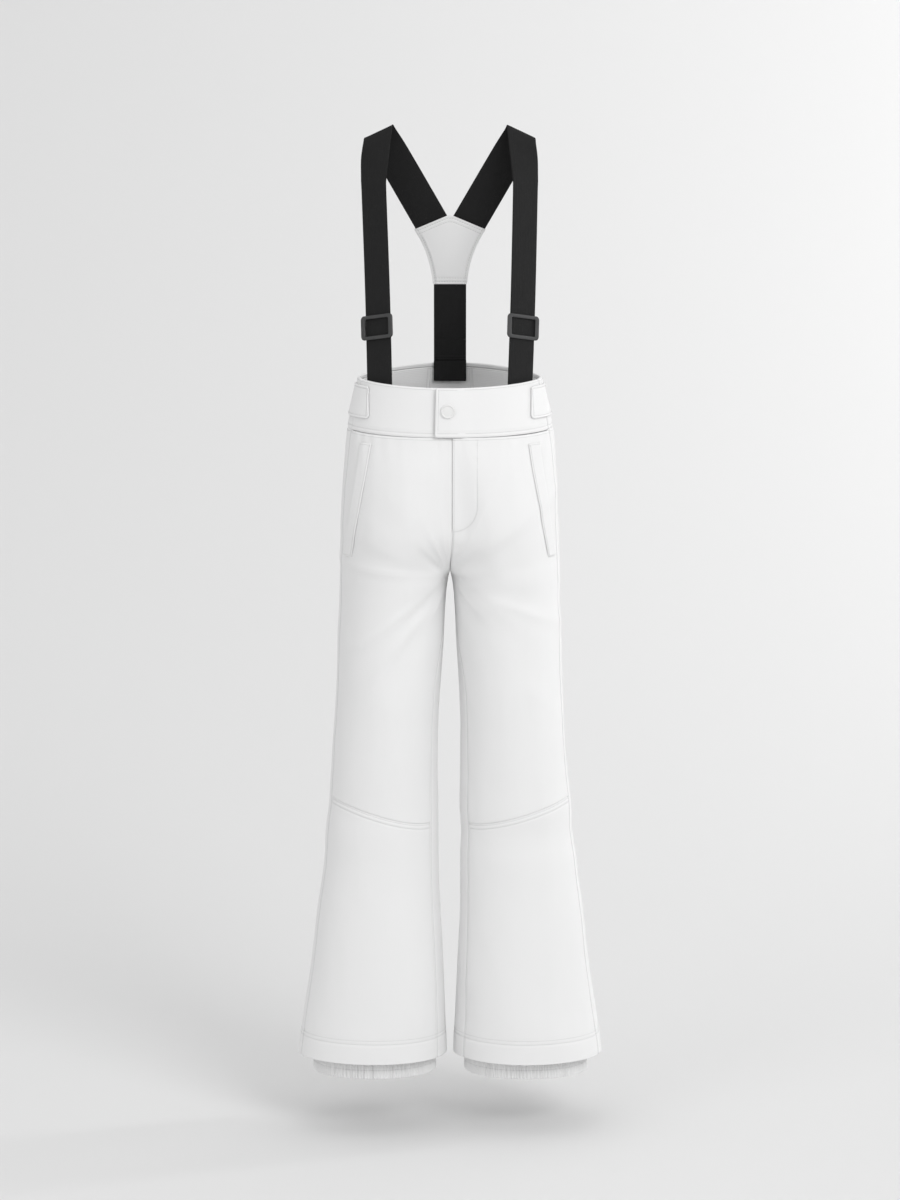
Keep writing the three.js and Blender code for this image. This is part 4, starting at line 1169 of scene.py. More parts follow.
@dataclass
class Waistband:
    """The band round the waist: its cloth and facing, the snap tab and the side adjusters."""

    form: BodyForm
    wardrobe: Wardrobe
    sewing: Sewing
    cloth: float = 0.0012
    fold_inset: float = 0.0039  # inner face of the band, folded over at the rim
    fold_depth: float = 0.0050
    side_turn: float = 16.5
    front_drop: float = 0.005
    back_rise: float = 0.009
    foot_drop: float = 0.003
    tab_root_x: float = 0.014
    tab_end_x: float = -0.0173
    tab_lift: float = 0.0045
    tab_rise_x: float = 0.030  # from here the band rises gently over the other front
    tab_step: float = 0.032
    tab_corner: float = 0.0030
    snap: tuple[float, float] = (-0.0027, -0.033)
    adjuster_x: float = 0.099
    adjuster_z: tuple[float, float] = (-0.008, -0.046)
    adjuster_turn: float = -4.0
    adjuster_lift: float = 0.0024
    adjuster_slant: float = 5.0

    def rim_z(self, turn: Array) -> Array:
        """Height of the upper edge."""
        n = np.sin(np.radians(turn))
        return np.where(n > 0, -self.front_drop, self.back_rise) * n * n

    def foot_z(self, turn: Array) -> Array:
        """Height of the lower edge."""
        n = np.maximum(0, np.sin(np.radians(turn)))
        return self.form.band_foot_z - self.foot_drop * n * n

    def skin(self, side: Side, turn: Array, z: Array, lift: Array | float = 0.0) -> tuple[Array, Array]:
        """Points on the waistband and their outward normals.

        Args:
            side: Left or right.
            turn: Degrees round the band.
            z: Heights.
            lift: Distance outwards.

        Returns:
            Points and unit normals.
        """
        form = self.form
        along = form.band(side, turn + 1.5, z) - form.band(side, turn - 1.5, z)
        rise = form.band(side, turn, z + 0.003) - form.band(side, turn, z - 0.003)
        normal = unit(np.cross(rise, along)) * side.value
        points = form.band(side, turn, z)
        wave = Noise(91).at((points * np.array([24, 24, 12])).reshape(-1, 3)).reshape(z.shape)
        wave = 0.0005 * wave * smooth(-z / 0.02) * smooth((z + 0.062) / 0.02)
        return points + normal * (lift + wave)[..., None], normal

    def folded(self, side: Side, name: str, turn: Array, lift: Array, cut: Array) -> Cloth:
        """A length of band whose upper edge folds over to the inside.

        Args:
            side: Left or right.
            name: The piece's name.
            turn: Degrees round the band, one for each column.
            lift: How far each column stands proud.
            cut: How much each column's edges are cut back.

        Returns:
            The cloth, from the inner fold over the rim to the foot.
        """
        radius = self.fold_inset / 2
        bend = np.linspace(0, math.pi, 11)
        inner = np.linspace(self.fold_depth, radius, 5, endpoint=False)
        fall = graded(34, 0.6)
        down = np.concatenate([inner, radius * (1 - np.sin(bend)), np.full(len(fall) - 1, np.nan)])
        inset = np.concatenate([np.full(5, 2 * radius), radius * (1 + np.cos(bend)), np.zeros(len(fall) - 1)])
        rim, foot = self.rim_z(turn) - cut, self.foot_z(turn) + cut
        rows = []
        for row, (drop, depth) in enumerate(zip(down, inset)):
            z = rim - drop if row < 16 else mix(rim - radius, foot, fall[row - 15])
            points, normal = self.skin(side, turn, z, lift)
            level = unit(normal * np.array([1, 1, 0]))
            rows.append((points - level * depth, z, normal, level, row))
        outer = np.array([row[0] for row in rows])
        down_step = np.gradient(outer, axis=0)
        across = np.gradient(outer, axis=1)
        normal = unit(np.cross(across, down_step))
        reference = rows[-1][2]
        if (normal[-1] * reference).sum() < 0:
            normal = -normal
        return Cloth(name, outer, normal, self.cloth)

    def press_band(self, band: Cloth, ends: bool = True) -> None:
        """Presses the seams and the rows of stitches into a length of band."""
        foot = band.to_edge("foot")
        rows = sum(0.0004 * np.exp(-((foot - d) / 0.0012) ** 2) for d in (0.0045, 0.0062))
        pucker = Noise(5).at((band.outer * np.array([130, 130, 60])).reshape(-1, 3)).reshape(foot.shape)
        depth = 0.0009 * np.exp(-(foot / 0.0013) ** 2) + rows
        depth += 0.00022 * pucker * np.exp(-((foot - 0.003) / 0.006) ** 2)
        if ends:
            for edge in ("start", "end"):
                depth += 0.0009 * np.exp(-(band.to_edge(edge) / 0.0013) ** 2)
        else:
            depth += 0.0009 * np.exp(-(band.to_edge("start") / 0.0013) ** 2)
        band.lower(depth)

    def rim_row(self, band: Cloth) -> Array:
        """The row of stitches just below the rim."""
        run = self.fold_depth + self.fold_inset * 0.6 + 0.0022
        return band.line("top", run)

    def settle(self, band: Cloth, replaced: Sequence[str], finish: Finish,
               held: str = "hung") -> bpy.types.Object:
        """Makes a cloth's mesh; the caller says what it rides on."""
        return make_sheet(band, self.wardrobe, finish, replaced)

    def build_front_right(self) -> None:
        """The right front, which runs on under the tab."""
        z = np.float64(-0.031)
        end = self.form.band_turn(-0.004, z)
        turn = mix(self.side_turn, end, graded(90, 0.5))
        band = self.folded(Side.RIGHT, "band_front_right", turn, 0 * turn, 0 * turn)
        self.press_band(band)
        piece = self.settle(band, ["waistband_front_right"], SOFTSHELL)
        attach(piece, "trousers")
        for row in (band.line("foot", 0.0053)[2:-2], self.rim_row(band)[2:-2]):
            self.sewing.row("band_stitches", row)

    def build_front_left(self) -> None:
        """The left front, which runs on as the tab and steps up over the right one."""
        start_x = float(self.form.band(Side.LEFT, np.float64(self.side_turn), np.float64(-0.03))[0])
        x = np.concatenate([mix(start_x, 0.020, graded(64, 0.4)), np.linspace(0.0195, -0.0115, 48)])
        x = np.concatenate([x, self.tab_end_x + 0.0056 * (1 - np.sin(np.linspace(0, math.pi / 2, 12)))])
        turn = self.form.band_turn(x, np.float64(-0.031))
        lift = self.tab_lift * smooth((self.tab_rise_x - x) / self.tab_step)
        short = np.maximum(0, self.tab_corner - (x - self.tab_end_x))
        cut = self.tab_corner - np.sqrt(np.maximum(0, self.tab_corner ** 2 - short ** 2))
        band = self.folded(Side.LEFT, "band_front_left", turn, lift, cut)
        on_tab = smooth((self.tab_rise_x - x) / self.tab_step)
        flatten = on_tab[None, :] * np.ones(len(band.outer))[:, None]
        self.press_band(band, ends=False)
        run = band.to_edge("end")
        band.outer += band.normal * (0.0007 * flatten * np.exp(-((run - 0.0022) / 0.0016) ** 2))[..., None]
        piece = self.settle(band, ["waistband_front_left", "waist_tab"], SOFTSHELL)
        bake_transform(piece)
        keep = np.flatnonzero(x > 0.019)
        for row in (band.line("foot", 0.0053), self.rim_row(band)):
            self.sewing.row("band_stitches", row[keep][2:])
            self.sewing.row("tab_stitches", row[np.flatnonzero((x < 0.008) & (x > self.tab_end_x + 0.003))])
        inside = np.linspace(self.fold_depth + 0.006, 0.057, 60)
        total = float(run_length(band.outer, 1)[20, -1])
        edge = band.spot(np.stack([np.full(60, total - 0.0030), inside], 1))
        self.sewing.row("tab_stitches", edge)

    def build_back(self) -> None:
        """The band across the back, from side to side."""
        turn = mix(self.side_turn - 0.4, -180 - (self.side_turn - 0.4), graded(220, 0.3))
        band = self.folded(Side.LEFT, "band_back", turn, 0 * turn, 0 * turn)
        self.press_band(band)
        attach(self.settle(band, ["waistband_back"], SOFTSHELL), "trousers")
        for row in (band.line("foot", 0.0053)[2:-2], self.rim_row(band)[2:-2]):
            self.sewing.row("band_stitches", row)

    def facing(self, side: Side, name: str, turn: Array, replaced: str, seams: Sequence[float] = ()) -> None:
        """Lines a length of band.

        Args:
            side: Left or right.
            name: The piece's name.
            turn: Degrees round the band, one for each column.
            replaced: The CAD node that it stands for.
            seams: Where upright seams cross it, in X.
        """
        v = graded(24, 0.5)[:, None]
        top = self.rim_z(turn) - self.fold_depth - 0.0001
        z = mix(top[None, :], (self.foot_z(turn) + 0.001)[None, :], v)
        points, normal = self.skin(side, turn[None, :] + 0 * v, z)
        lining = Cloth(name, points - normal * (self.fold_inset + 0.0001), -normal, 0.0012)
        x = lining.outer[..., 0]
        depth = sum((0.0009 * np.exp(-((x - s) / 0.0012) ** 2) for s in seams), 0 * x)
        for edge in ("top", "foot", "start", "end"):
            depth = depth + 0.0005 * np.exp(-(lining.to_edge(edge) / 0.0012) ** 2)
        quilt = Noise(64).at((lining.outer * np.array([60, 60, 18])).reshape(-1, 3)).reshape(z.shape)
        lining.lower(depth + 0.0004 * quilt * smooth(lining.to_edge("top") / 0.01))
        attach(self.settle(lining, [replaced], LINING), "trousers")
        self.sewing.row("facing_stitches", lining.line("top", 0.0016)[2:-2])
        for seam in seams:
            for away in (-0.0022, 0.0022):
                column = int(np.argmin(np.abs(x[0] - seam - away)))
                line = lining.outer[2:-2, column] + lining.normal[2:-2, column] * 0.00012
                self.sewing.row("facing_stitches", line)

    def build_facings(self) -> None:
        """Lines the whole band."""
        z = np.float64(-0.031)
        for side, edge in ((Side.LEFT, 0.0156), (Side.RIGHT, -0.003)):
            turn = mix(self.side_turn, self.form.band_turn(edge, z), graded(80, 0.4))
            self.facing(side, f"lining_front_{side.label}", turn, f"facing_front_{side.label}")
        turn = mix(self.side_turn - 0.4, -180 - (self.side_turn - 0.4), np.linspace(0, 1, 421))
        self.facing(Side.LEFT, "lining_back", turn, "facing_back", seams=(-0.026, 0.026))

    def patch(self, side: Side, name: str, turns: tuple[float, float], z: tuple[float, float], lift: float,
              thick: float, corner: float = 0.002, slant: float = 0.0) -> Cloth:
        """A patch or tab on the band, with its far corners rounded.

        Args:
            side: Left or right.
            name: The piece's name.
            turns: Where it starts and ends, in degrees round the band.
            z: Its upper and lower edge.
            lift: How far its outer face stands out.
            thick: Its thickness.
            corner: Radius of the corners.
            slant: How far the end leans, in degrees round the band.

        Returns:
            The patch.
        """
        u, v = np.meshgrid(graded(44, 0.8), graded(30, 0.7))
        turn = mix(turns[0], turns[1], u)
        ends = [self.form.band(side, np.float64(t), np.float64(z[0])) for t in turns]
        here = self.form.band(side, turn, np.full_like(u, z[0]))
        short = np.maximum(0, corner - np.linalg.norm(here - ends[1], axis=-1))
        cut = corner - np.sqrt(np.maximum(0, corner ** 2 - short ** 2))
        height = mix(z[0] - cut, z[1] + cut, v)
        points, normal = self.skin(side, turn + slant * (v - 0.5) * u, height)
        return Cloth(name, points + normal * lift, normal, thick, rim=0.45)

    def build_adjuster(self, side: Side) -> None:
        """A side tab with its hook and loop patches, and the loop patch that holds the strap."""
        label, z = side.label, self.adjuster_z
        middle = np.float64(sum(z) / 2)
        front = float(self.form.band_turn(self.adjuster_x, middle))
        tab = self.patch(side, f"adjuster_{label}", (self.adjuster_turn, front), z, 0.0, 0.0015, 0.004,
                         self.adjuster_slant)
        run = tab.to_edge("start")
        tab.outer += tab.normal * mix(0.0016, self.adjuster_lift, smooth(run / 0.025))[..., None]
        edge = np.minimum.reduce([tab.to_edge(name) for name in ("end", "top", "foot")])
        row, swell = np.exp(-((edge - 0.0028) / 0.0009) ** 2), np.exp(-((edge - 0.0012) / 0.001) ** 2)
        tab.lower(0.0003 * row - 0.0004 * swell)
        piece = self.settle(tab, [f"side_tab_{label}"], SOFTSHELL)
        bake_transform(piece)
        rim = tab.frame_line(0.0028)
        self.sewing.row(f"adjuster_stitches_{label}", rim[run_of(tab, rim) > 0.012])
        self.sewing.row("band_stitches", tab.line("start", 0.0022)[3:-3])
        self.sewing.row("band_stitches", tab.line("start", 0.0046)[3:-3])
        patches = (
            ("tab_hook", (front - 17, front - 3), 0.00175, 0.0005, f"side_tab_{label}"),
            ("tab_loop", (front - 34, front - 2), 0.0011, 0.0008, "trousers"),
        )
        for part, turns, lift, thick, body in patches:
            made = self.patch(side, f"{part}_patch_{label}", turns, (z[0] - 0.004, z[1] + 0.004), lift, thick)
            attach(self.settle(made, [f"{part}_{label}"], HOOK_LOOP, "stretched"), body)
        held = self.patch(side, f"strap_hold_{label}", (30, 56), (-0.008, -0.044), -0.0044, 0.0008)
        held.normal = -held.normal
        held.outer = held.outer + held.normal * 0.0008
        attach(self.settle(held, [f"strap_loop_{label}"], HOOK_LOOP, "stretched"), "trousers")

    def build_snap(self) -> None:
        """The snap's cap: a low dome inside a rounded ring, with no mark on it."""
        low, high = (np.array(corner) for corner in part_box("snap_cap"))
        centre = (low + high) / 2
        radius = float(high[0] - low[0]) / 2
        slope = self.form.band(Side.LEFT, np.float64(90), np.array([-0.013, -0.053]))
        rise = unit(slope[0] - slope[1])
        axis = np.array([0.0, -rise[2], rise[1]])
        profile = [(0.96, -1.5), (1.0, -0.9), (1.0, -0.2), (0.985, 0.35), (0.95, 0.75), (0.89, 0.98),
                   (0.83, 0.95), (0.78, 0.70), (0.74, 0.30), (0.71, 0.12), (0.66, 0.12), (0.5, 0.26),
                   (0.25, 0.36), (0.0, 0.40)]
        spin = np.linspace(0, math.tau, 97)[:-1]
        rings = [[centre + axis * (h * MM) + radius * r * (np.cos(a) * np.array([1, 0, 0]) + np.sin(a) * rise)
                  for a in spin] for r, h in profile[:-1]]
        vertices = [point for ring in rings for point in ring]
        vertices += [centre + axis * (profile[-1][1] * MM), centre + axis * (profile[0][1] * MM)]
        count, last = len(spin), len(rings) - 1
        mesh = bpy.data.meshes.new("snap_button")
        faces = [[r * count + i, r * count + (i + 1) % count,
                  (r + 1) * count + (i + 1) % count, (r + 1) * count + i]
                 for r in range(last) for i in range(count)]
        faces += [[last * count + i, last * count + (i + 1) % count, len(vertices) - 2] for i in range(count)]
        faces += [[(i + 1) % count, i, len(vertices) - 1] for i in range(count)]
        mesh.from_pydata([tuple(point) for point in vertices], [], faces)
        mesh.materials.append(self.wardrobe.get(ENAMEL))
        shell = bmesh.new()
        shell.from_mesh(mesh)
        bmesh.ops.recalc_face_normals(shell, faces=shell.faces)
        shell.to_mesh(mesh)
        shell.free()
        button = add_object("snap_button", mesh)
        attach(button, "waist_tab")
        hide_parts("snap_cap")

    def build(self) -> None:
        """Builds the band and all that is on it."""
        self.build_front_right()
        self.build_front_left()
        self.build_back()
        self.build_facings()
        for side in Side:
            self.build_adjuster(side)
        self.build_snap()
        riders = {"band_stitches": "trousers", "facing_stitches": "trousers", "tab_stitches": "waist_tab"}
        riders |= {f"adjuster_stitches_{side.label}": f"side_tab_{side.label}" for side in Side}
        for group, body in riders.items():
            stitches = self.sewing.sew(group)
            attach(stitches, body)
        LOG.info("the waistband is built")


def run_of(piece: Cloth, points: Array) -> Array:
    """Distance of points from a piece's first column."""
    gaps = np.linalg.norm(points[:, None, :] - piece.outer[:, 0][None, :, :], axis=-1)
    return gaps.min(axis=1)


# ------------------------------------------------------------------------------ gaiters


@dataclass
class Gaiter:
    """The snow gaiter inside a leg: a gathered sleeve on an elastic."""

    side: Side
    wardrobe: Wardrobe
    sewing: Sewing
    top: tuple[float, float, float] = (0.0945, 0.077, 0.060)  # centre and radii
    foot: tuple[float, float, float] = (0.0965, 0.079, 0.056)
    thick: float = 0.0007
    gathers: int = 118
    columns: int = 860
    elastic: float = 0.010

    def surface(self, turn: Array, z: Array, high: float, low: float) -> Array:
        """Points of the sleeve, before it is gathered."""
        t = (high - z) / (high - low)
        centre, rx, ry = (mix(a, b, t) for a, b in zip(self.top, self.foot))
        x = self.side.value * (centre + rx * np.cos(turn))
        return np.stack([x, -ry * np.sin(turn), z], -1)

    def build(self) -> None:
        """Builds the sleeve, its stitches and the elastic inside it."""
        label = self.side.label
        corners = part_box(f"gaiter_{label}")
        low, high = float(corners[0][2]), float(corners[1][2])
        turn = np.linspace(0, math.tau, self.columns + 1)[:-1]
        drift = Noise(40 + self.side.value)
        around = np.stack([np.cos(turn), np.sin(turn), 0 * turn], -1)
        phase = self.gathers * turn + 2.6 * drift.at(around * 9) + 1.1 * drift.at(around * 23 + 50)
        height = 0.75 + 0.45 * drift.at(around * 31 + 90)
        fall = graded(50, 0.75)[:, None]
        z = mix(high, low, fall) + 0 * turn
        spin = turn[None, :] + 0 * fall
        points = self.surface(spin, z, high, low)
        out = self.surface(spin, z, high, low) - self.surface(spin, z, high, low).mean(axis=1, keepdims=True)
        normal = unit(out * np.array([1, 1, 0]))
        up = z - low
        gather = np.exp(-np.maximum(0, up - self.elastic) / 0.034)
        places = np.stack([np.cos(spin) * 12, np.sin(spin) * 12, z * 60], -1)
        lean = 0.5 * drift.at(places.reshape(-1, 3)).reshape(z.shape)
        pleat = np.cos(phase[None, :] + lean * 2.2)
        pleat = (np.abs(pleat) ** 0.8) * np.sign(pleat)
        places = np.stack([np.cos(spin) * 5, np.sin(spin) * 5, z * 9], -1)
        long_wave = drift.at(places.reshape(-1, 3)).reshape(z.shape)
        depth = 0.0013 * pleat * height[None, :] * gather + 0.0016 * long_wave * (1 - gather)
        pinch = 0.0004 * np.exp(-((up - self.elastic - 0.001) / 0.0012) ** 2)
        pinch += 0.0005 * np.exp(-(up / 0.0012) ** 2)
        outer = points - normal * (0.0016 - depth + pinch)[..., None]
        outer[..., 2] += 0.0007 * pleat * np.exp(-(up / 0.0015) ** 2) * np.abs(drift.at(around * 40))[None, :]
        down_step, across = np.gradient(outer, axis=0), np.roll(outer, -1, axis=1) - np.roll(outer, 1, axis=1)
        true_normal = unit(np.cross(across, down_step))
        true_normal *= np.sign((true_normal * normal).sum(-1, keepdims=True))
        sleeve = Cloth(f"gaiter_sleeve_{label}", outer, true_normal, self.thick, rim=0.3, closed=True)
        make_sheet(sleeve, self.wardrobe, TAFFETA, [f"gaiter_{label}"], f"gaiter_{label}")
        row = int(np.argmin(np.abs(up[:, 0] - self.elastic - 0.001)))
        ring = outer[row] + true_normal[row] * 0.00015
        self.sewing.row(f"gaiter_stitches_{label}", np.concatenate([ring, ring[:1]]))
        stitches = self.sewing.sew(f"gaiter_stitches_{label}")
        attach(stitches, f"gaiter_{label}")
        self.build_elastic(label, low, high, turn[::5])

    def build_elastic(self, label: str, low: float, high: float, turn: Array) -> None:
        """Builds the elastic, a ribbed ring inside the sleeve's foot."""
        z = mix(low + 0.0113, low + 0.0010, graded(8, 0.5))[:, None] + 0 * turn
        spin = turn[None, :] + 0 * z
        points = self.surface(spin, z, high, low)
        normal = unit((points - points.mean(axis=1, keepdims=True)) * np.array([1, 1, 0]))
        rib = 0.0001 * np.cos(np.linspace(0, 5 * math.tau, len(z)))[:, None] + 0 * turn
        outer = points - normal * (0.0044 - rib)[..., None]
        band = Cloth(f"gaiter_cuff_{label}", outer, normal, 0.0009, rim=0.3, closed=True)
        make_sheet(band, self.wardrobe, WEBBING, [f"gaiter_elastic_{label}"], f"gaiter_{label}")


# --------------------------------------------------------------------------- suspenders


def curve_through(points: Sequence[Sequence[float]], t: Array) -> Array:
    """Points on a centripetal Catmull-Rom curve.

    Args:
        points: What the curve passes through.
        t: Places on it, from 0 to 1.

    Returns:
        Rows of coordinates.
    """
    given = [np.array(point, float) for point in points]
    given = [2 * given[0] - given[1], *given, 2 * given[-1] - given[-2]]
    rows = []
    for place in np.atleast_1d(t) * (len(points) - 1):
        i = min(int(place), len(points) - 2)
        p0, p1, p2, p3 = given[i:i + 4]
        spans = ((p0, p1), (p1, p2), (p2, p3))
        d0, d1, d2 = (max(1e-9, float(np.linalg.norm(b - a)) ** 0.5) for a, b in spans)
        t1 = ((p1 - p0) / d0 - (p2 - p0) / (d0 + d1) + (p2 - p1) / d1) * d1
        t2 = ((p2 - p1) / d1 - (p3 - p1) / (d1 + d2) + (p3 - p2) / d2) * d1
        w = place - i
        rows.append(p1 + t1 * w + (3 * (p2 - p1) - 2 * t1 - t2) * w ** 2 + (2 * (p1 - p2) + t1 + t2) * w ** 3)
    return np.array(rows)


def rounded_outline(width: float, length: float, corner: float) -> Array:
    """A rounded rectangle with the same number of points whatever its size.

    Args:
        width: Its width.
        length: Its length.
        corner: Radius of its corners.

    Returns:
        Rows of two coordinates, counterclockwise.
    """
    points = []
    for quarter in range(4):
        angle = math.pi / 2 * (quarter + np.linspace(0, 1, 9))
        reach = np.array([width / 2 - corner, length / 2 - corner])
        sign = np.sign([math.cos(math.pi / 2 * quarter + 0.7), math.sin(math.pi / 2 * quarter + 0.7)])
        points.append(reach * sign + corner * np.stack([np.cos(angle), np.sin(angle)], 1))
    return np.concatenate(points)


@dataclass(frozen=True)
class AdjusterSize:
    """Sizes of a strap adjuster."""

    height: float = 0.064
    width: float = 0.051
    length: float = 0.030
    bar: float = 0.0044
    rail: float = 0.0062  # the side rails lap over the strap's edges
    depth: float = 0.0024
    corner: float = 0.005
    middle_bar: float = 0.0036
    middle_depth: float = 0.0010
    cheek: float = 0.0016


@dataclass
class Suspenders:
    """The Y-back harness: elastic straps, adjusters and the yoke between the shoulders."""

    wardrobe: Wardrobe
    sewing: Sewing
    width: float = 0.040
    thick: float = 0.0018
    foot: tuple[float, float, float] = (0.086, -0.042, -0.012)
    head: tuple[float, float, float] = (0.0936, 0.014, 0.240)
    over: tuple[tuple[float, float, float], ...] = (
        (0.0918, 0.0205, 0.268),
        (0.0893, 0.0262, 0.290),
        (0.0876, 0.0322, 0.2995),
        (0.0850, 0.0368, 0.2935),
        (0.0735, 0.0415, 0.2735),
    )
    end: tuple[float, float, float] = (0.0245, 0.059, 0.1876)
    end_width: float = 0.0422
    tuck: float = 0.009  # how far the strap runs on inside the yoke
    face_turn: float = 41.0
    ribs: int = 15
    yoke_outer: tuple[float, float] = (0.044, 0.177)
    yoke_inner: tuple[float, float] = (0.0036, 0.1940)
    yoke_foot: tuple[float, float] = (0.021, 0.109)
    yoke_side: float = 0.003
    back_top: tuple[float, float, float] = (0.0, 0.0646, 0.108)
    back_foot: tuple[float, float, float] = (0.0, 0.073, 0.0124)
    lap_z: float = 0.039
    anchor_z: tuple[float, float] = (0.0118, -0.014)
    adjuster: AdjusterSize = AdjusterSize()

    def ribbon(self, name: str, centre: Array, across: Array, width: Array | float = None,
               thick: float = None, square: bool = True) -> Cloth:
        """A strap along a line.

        Args:
            name: The piece's name.
            centre: Points down the strap's middle.
            across: Its direction of width at each point.
            width: Its width, if not the harness's.
            thick: Its thickness, if not the harness's.
            square: Whether the direction of width is first squared to the line.

        Returns:
            The strap, with ribs along it and firm edges.
        """
        width = self.width if width is None else width
        thick = self.thick if thick is None else thick
        along = unit(np.gradient(centre, axis=0))
        if square:
            across = across - along * (across * along).sum(-1, keepdims=True)
        across = unit(across)
        face = unit(np.cross(across, along))
        u = graded(60, 0.35)
        offset = ((u - 0.5)[None, :] * np.broadcast_to(width, (len(centre),))[:, None])[..., None]
        outer = centre[:, None, :] + across[:, None, :] * offset + face[:, None, :] * (thick / 2)
        normal = np.broadcast_to(face[:, None, :], outer.shape).copy()
        gap = np.minimum(u, 1 - u) * self.width
        depth = 0.00010 * (1 - np.cos(self.ribs * math.tau * u)) + 0.00045 * np.exp(-(gap / 0.0007) ** 2)
        depth += 0.00022 * np.exp(-((gap - 0.0026) / 0.0005) ** 2)
        strap = Cloth(name, outer, normal, thick, rim=0.12)
        strap.lower(np.broadcast_to(depth[None, :], outer.shape[:2]))
        strap.thick = thick - 0.0003
        return strap

    def settle(self, strap: Cloth, replaced: Sequence[str], finish: Finish = WEBBING,
               body: str = "suspenders") -> None:
        """Makes a strap's mesh."""
        make_sheet(strap, self.wardrobe, finish, replaced, body)

    def build_front(self, side: Side) -> None:
        """A front strap, up the chest, over the shoulder and down to the yoke."""
        mirror = np.array([side.value, 1, 1])
        turned = math.radians(self.face_turn)
        front = np.array([math.cos(turned), math.sin(turned), 0])
        over, back = np.array([0.87, 0.25, -0.42]), np.array([0.92, 0.02, -0.39])
        t = np.linspace(0, 1, 121)
        curve = curve_through((self.head, *self.over, self.end), t)
        rise = np.linspace(0, 1, 91)[:-1]
        straight = mix(np.array(self.foot), np.array(self.head), rise[:, None])
        tucked = curve[-1] + unit(curve[-1] - curve[-4]) * np.linspace(0, self.tuck, 7)[1:, None]
        place = np.concatenate([rise - 1, t, 1 + 0.01 * np.arange(1, 7)])
        twist = smooth((place + 0.06) / 0.46)[:, None]
        across = mix(mix(front, over, twist), back, smooth((place - 0.56) / 0.3)[:, None])
        width = mix(self.width, self.end_width, smooth((place - 0.5) / 0.5))
        centre = np.concatenate([straight, curve, tucked]) * mirror
        sway = 0.0006 * np.sin(np.linspace(0, 9, len(centre)))
        centre = centre + np.stack([sway, 0 * sway, 0 * sway], -1)
        strap = self.ribbon(f"front_strap_{side.label}", centre, across * mirror, width, square=False)
        if side is Side.RIGHT:
            strap.outer = strap.outer[:, ::-1]
            strap.normal = strap.normal[:, ::-1]
        self.settle(strap, [f"strap_{side.label}"])
        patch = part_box(f"strap_hook_{side.label}")
        middle = (np.array(patch[0]) + np.array(patch[1])) / 2
        along = unit((np.array(self.head) - np.array(self.foot)) * mirror)
        line = middle + along * (np.linspace(-0.005, 0.005, 9) - 0.0045)[:, None]
        width_axis = np.broadcast_to(front * mirror, line.shape)
        hook = self.ribbon(f"strap_hook_patch_{side.label}", line, width_axis, 0.032, 0.0009)
        self.settle(hook, [f"strap_hook_{side.label}"], HOOK_TAPE)

    def build_back(self) -> None:
        """The back strap, the lap that turns up at its foot, and its end inside the band."""
        top, foot = np.array(self.back_top), np.array(self.back_foot)
        across = np.array([1.0, 0.0, 0.0])

        def strip(name: str, start: Array, end: Array, count: int, thick: float = None) -> Cloth:
            """A straight strap."""
            line = mix(start, end, np.linspace(0, 1, count)[:, None])
            return self.ribbon(name, line, np.broadcast_to(across, line.shape), thick=thick)

        share = (self.lap_z - foot[2]) / (top[2] - foot[2])
        forward = np.array([0, -self.thick - 0.00035, 0])
        main = strip("back_strap_long", top, foot, 60)
        lap = strip("back_strap_turned_end", mix(foot, top, share) + forward, foot + forward, 24)
        self.settle(main, ["back_strap"])
        self.settle(lap, ["back_strap_lap"])
        lower = np.array([0, foot[1] - 0.0009, 0])
        start, end = (lower + [0, 0, z] for z in self.anchor_z)
        tail = strip("back_strap_tail", start, end, 16, 2 * self.thick)
        self.settle(tail, ["back_strap_anchor"], body="trousers")

    def yoke_half_width(self, z: Array) -> Array:
        """Half the yoke's width at a height, on its curved side."""
        foot, outer = self.yoke_foot, self.yoke_outer
        t = np.linspace(0, 1, 80)
        bend = (foot[0] + self.yoke_side, mix(foot[1], outer[1], 0.55))
        side = [(1 - t) ** 2 * foot[k] + 2 * t * (1 - t) * bend[k] + t ** 2 * outer[k] for k in range(2)]
        return np.interp(z, side[1], side[0])

    def build_yoke(self) -> None:
        """The yoke: two layers of cloth sewn round the ends of the straps."""
        foot, outer, inner = self.yoke_foot, self.yoke_outer, self.yoke_inner
        flat = inner[0] / outer[0]
        wing = np.linspace(flat, 1, 34)
        columns = np.concatenate([-wing[::-1], np.linspace(-flat, flat, 8)[1:-1], wing])
        u, v = np.meshgrid(columns, graded(72, 0.85))
        reach = np.abs(u) * outer[0]
        slope = mix(inner[1], outer[1], (reach - inner[0]) / (outer[0] - inner[0]))
        top = np.where(reach < inner[0], inner[1], slope)
        z = mix(top, foot[1], v)
        x = u * self.yoke_half_width(np.minimum(z, outer[1]))
        lean = (self.back_top[1] - 0.0594) / (outer[1] - foot[1])
        y = self.back_top[1] - 0.0004 - (z - foot[1]) * lean
        ripple = Noise(17).at(np.stack([x * 45, 0 * x, z * 45], -1).reshape(-1, 3)).reshape(x.shape)
        front = unit(np.array([0.0, -1.0, -lean]))
        for face, name in ((1, "yoke_front_layer"), (-1, "yoke_back_layer")):
            normal = np.broadcast_to(front * face, x.shape + (3,)).copy()
            skin = np.stack([x, y, z], -1) + normal * 0.0002
            layer = Cloth(name, skin, normal, 0.0013, rim=0.35)
            edges = {edge: layer.to_edge(edge) for edge in ("start", "end", "top", "foot")}
            edge = np.minimum.reduce(list(edges.values()))
            seat = np.minimum(edges["top"], edges["foot"])
            sides = np.minimum(edges["start"], edges["end"])
            pinch = mix(0.0002, 0.0012, smooth((z - 0.158) / 0.015))
            crown = mix(pinch, 0.0021, smooth(sides / 0.0050)) + 0.0003 * ripple * smooth(edge / 0.01)
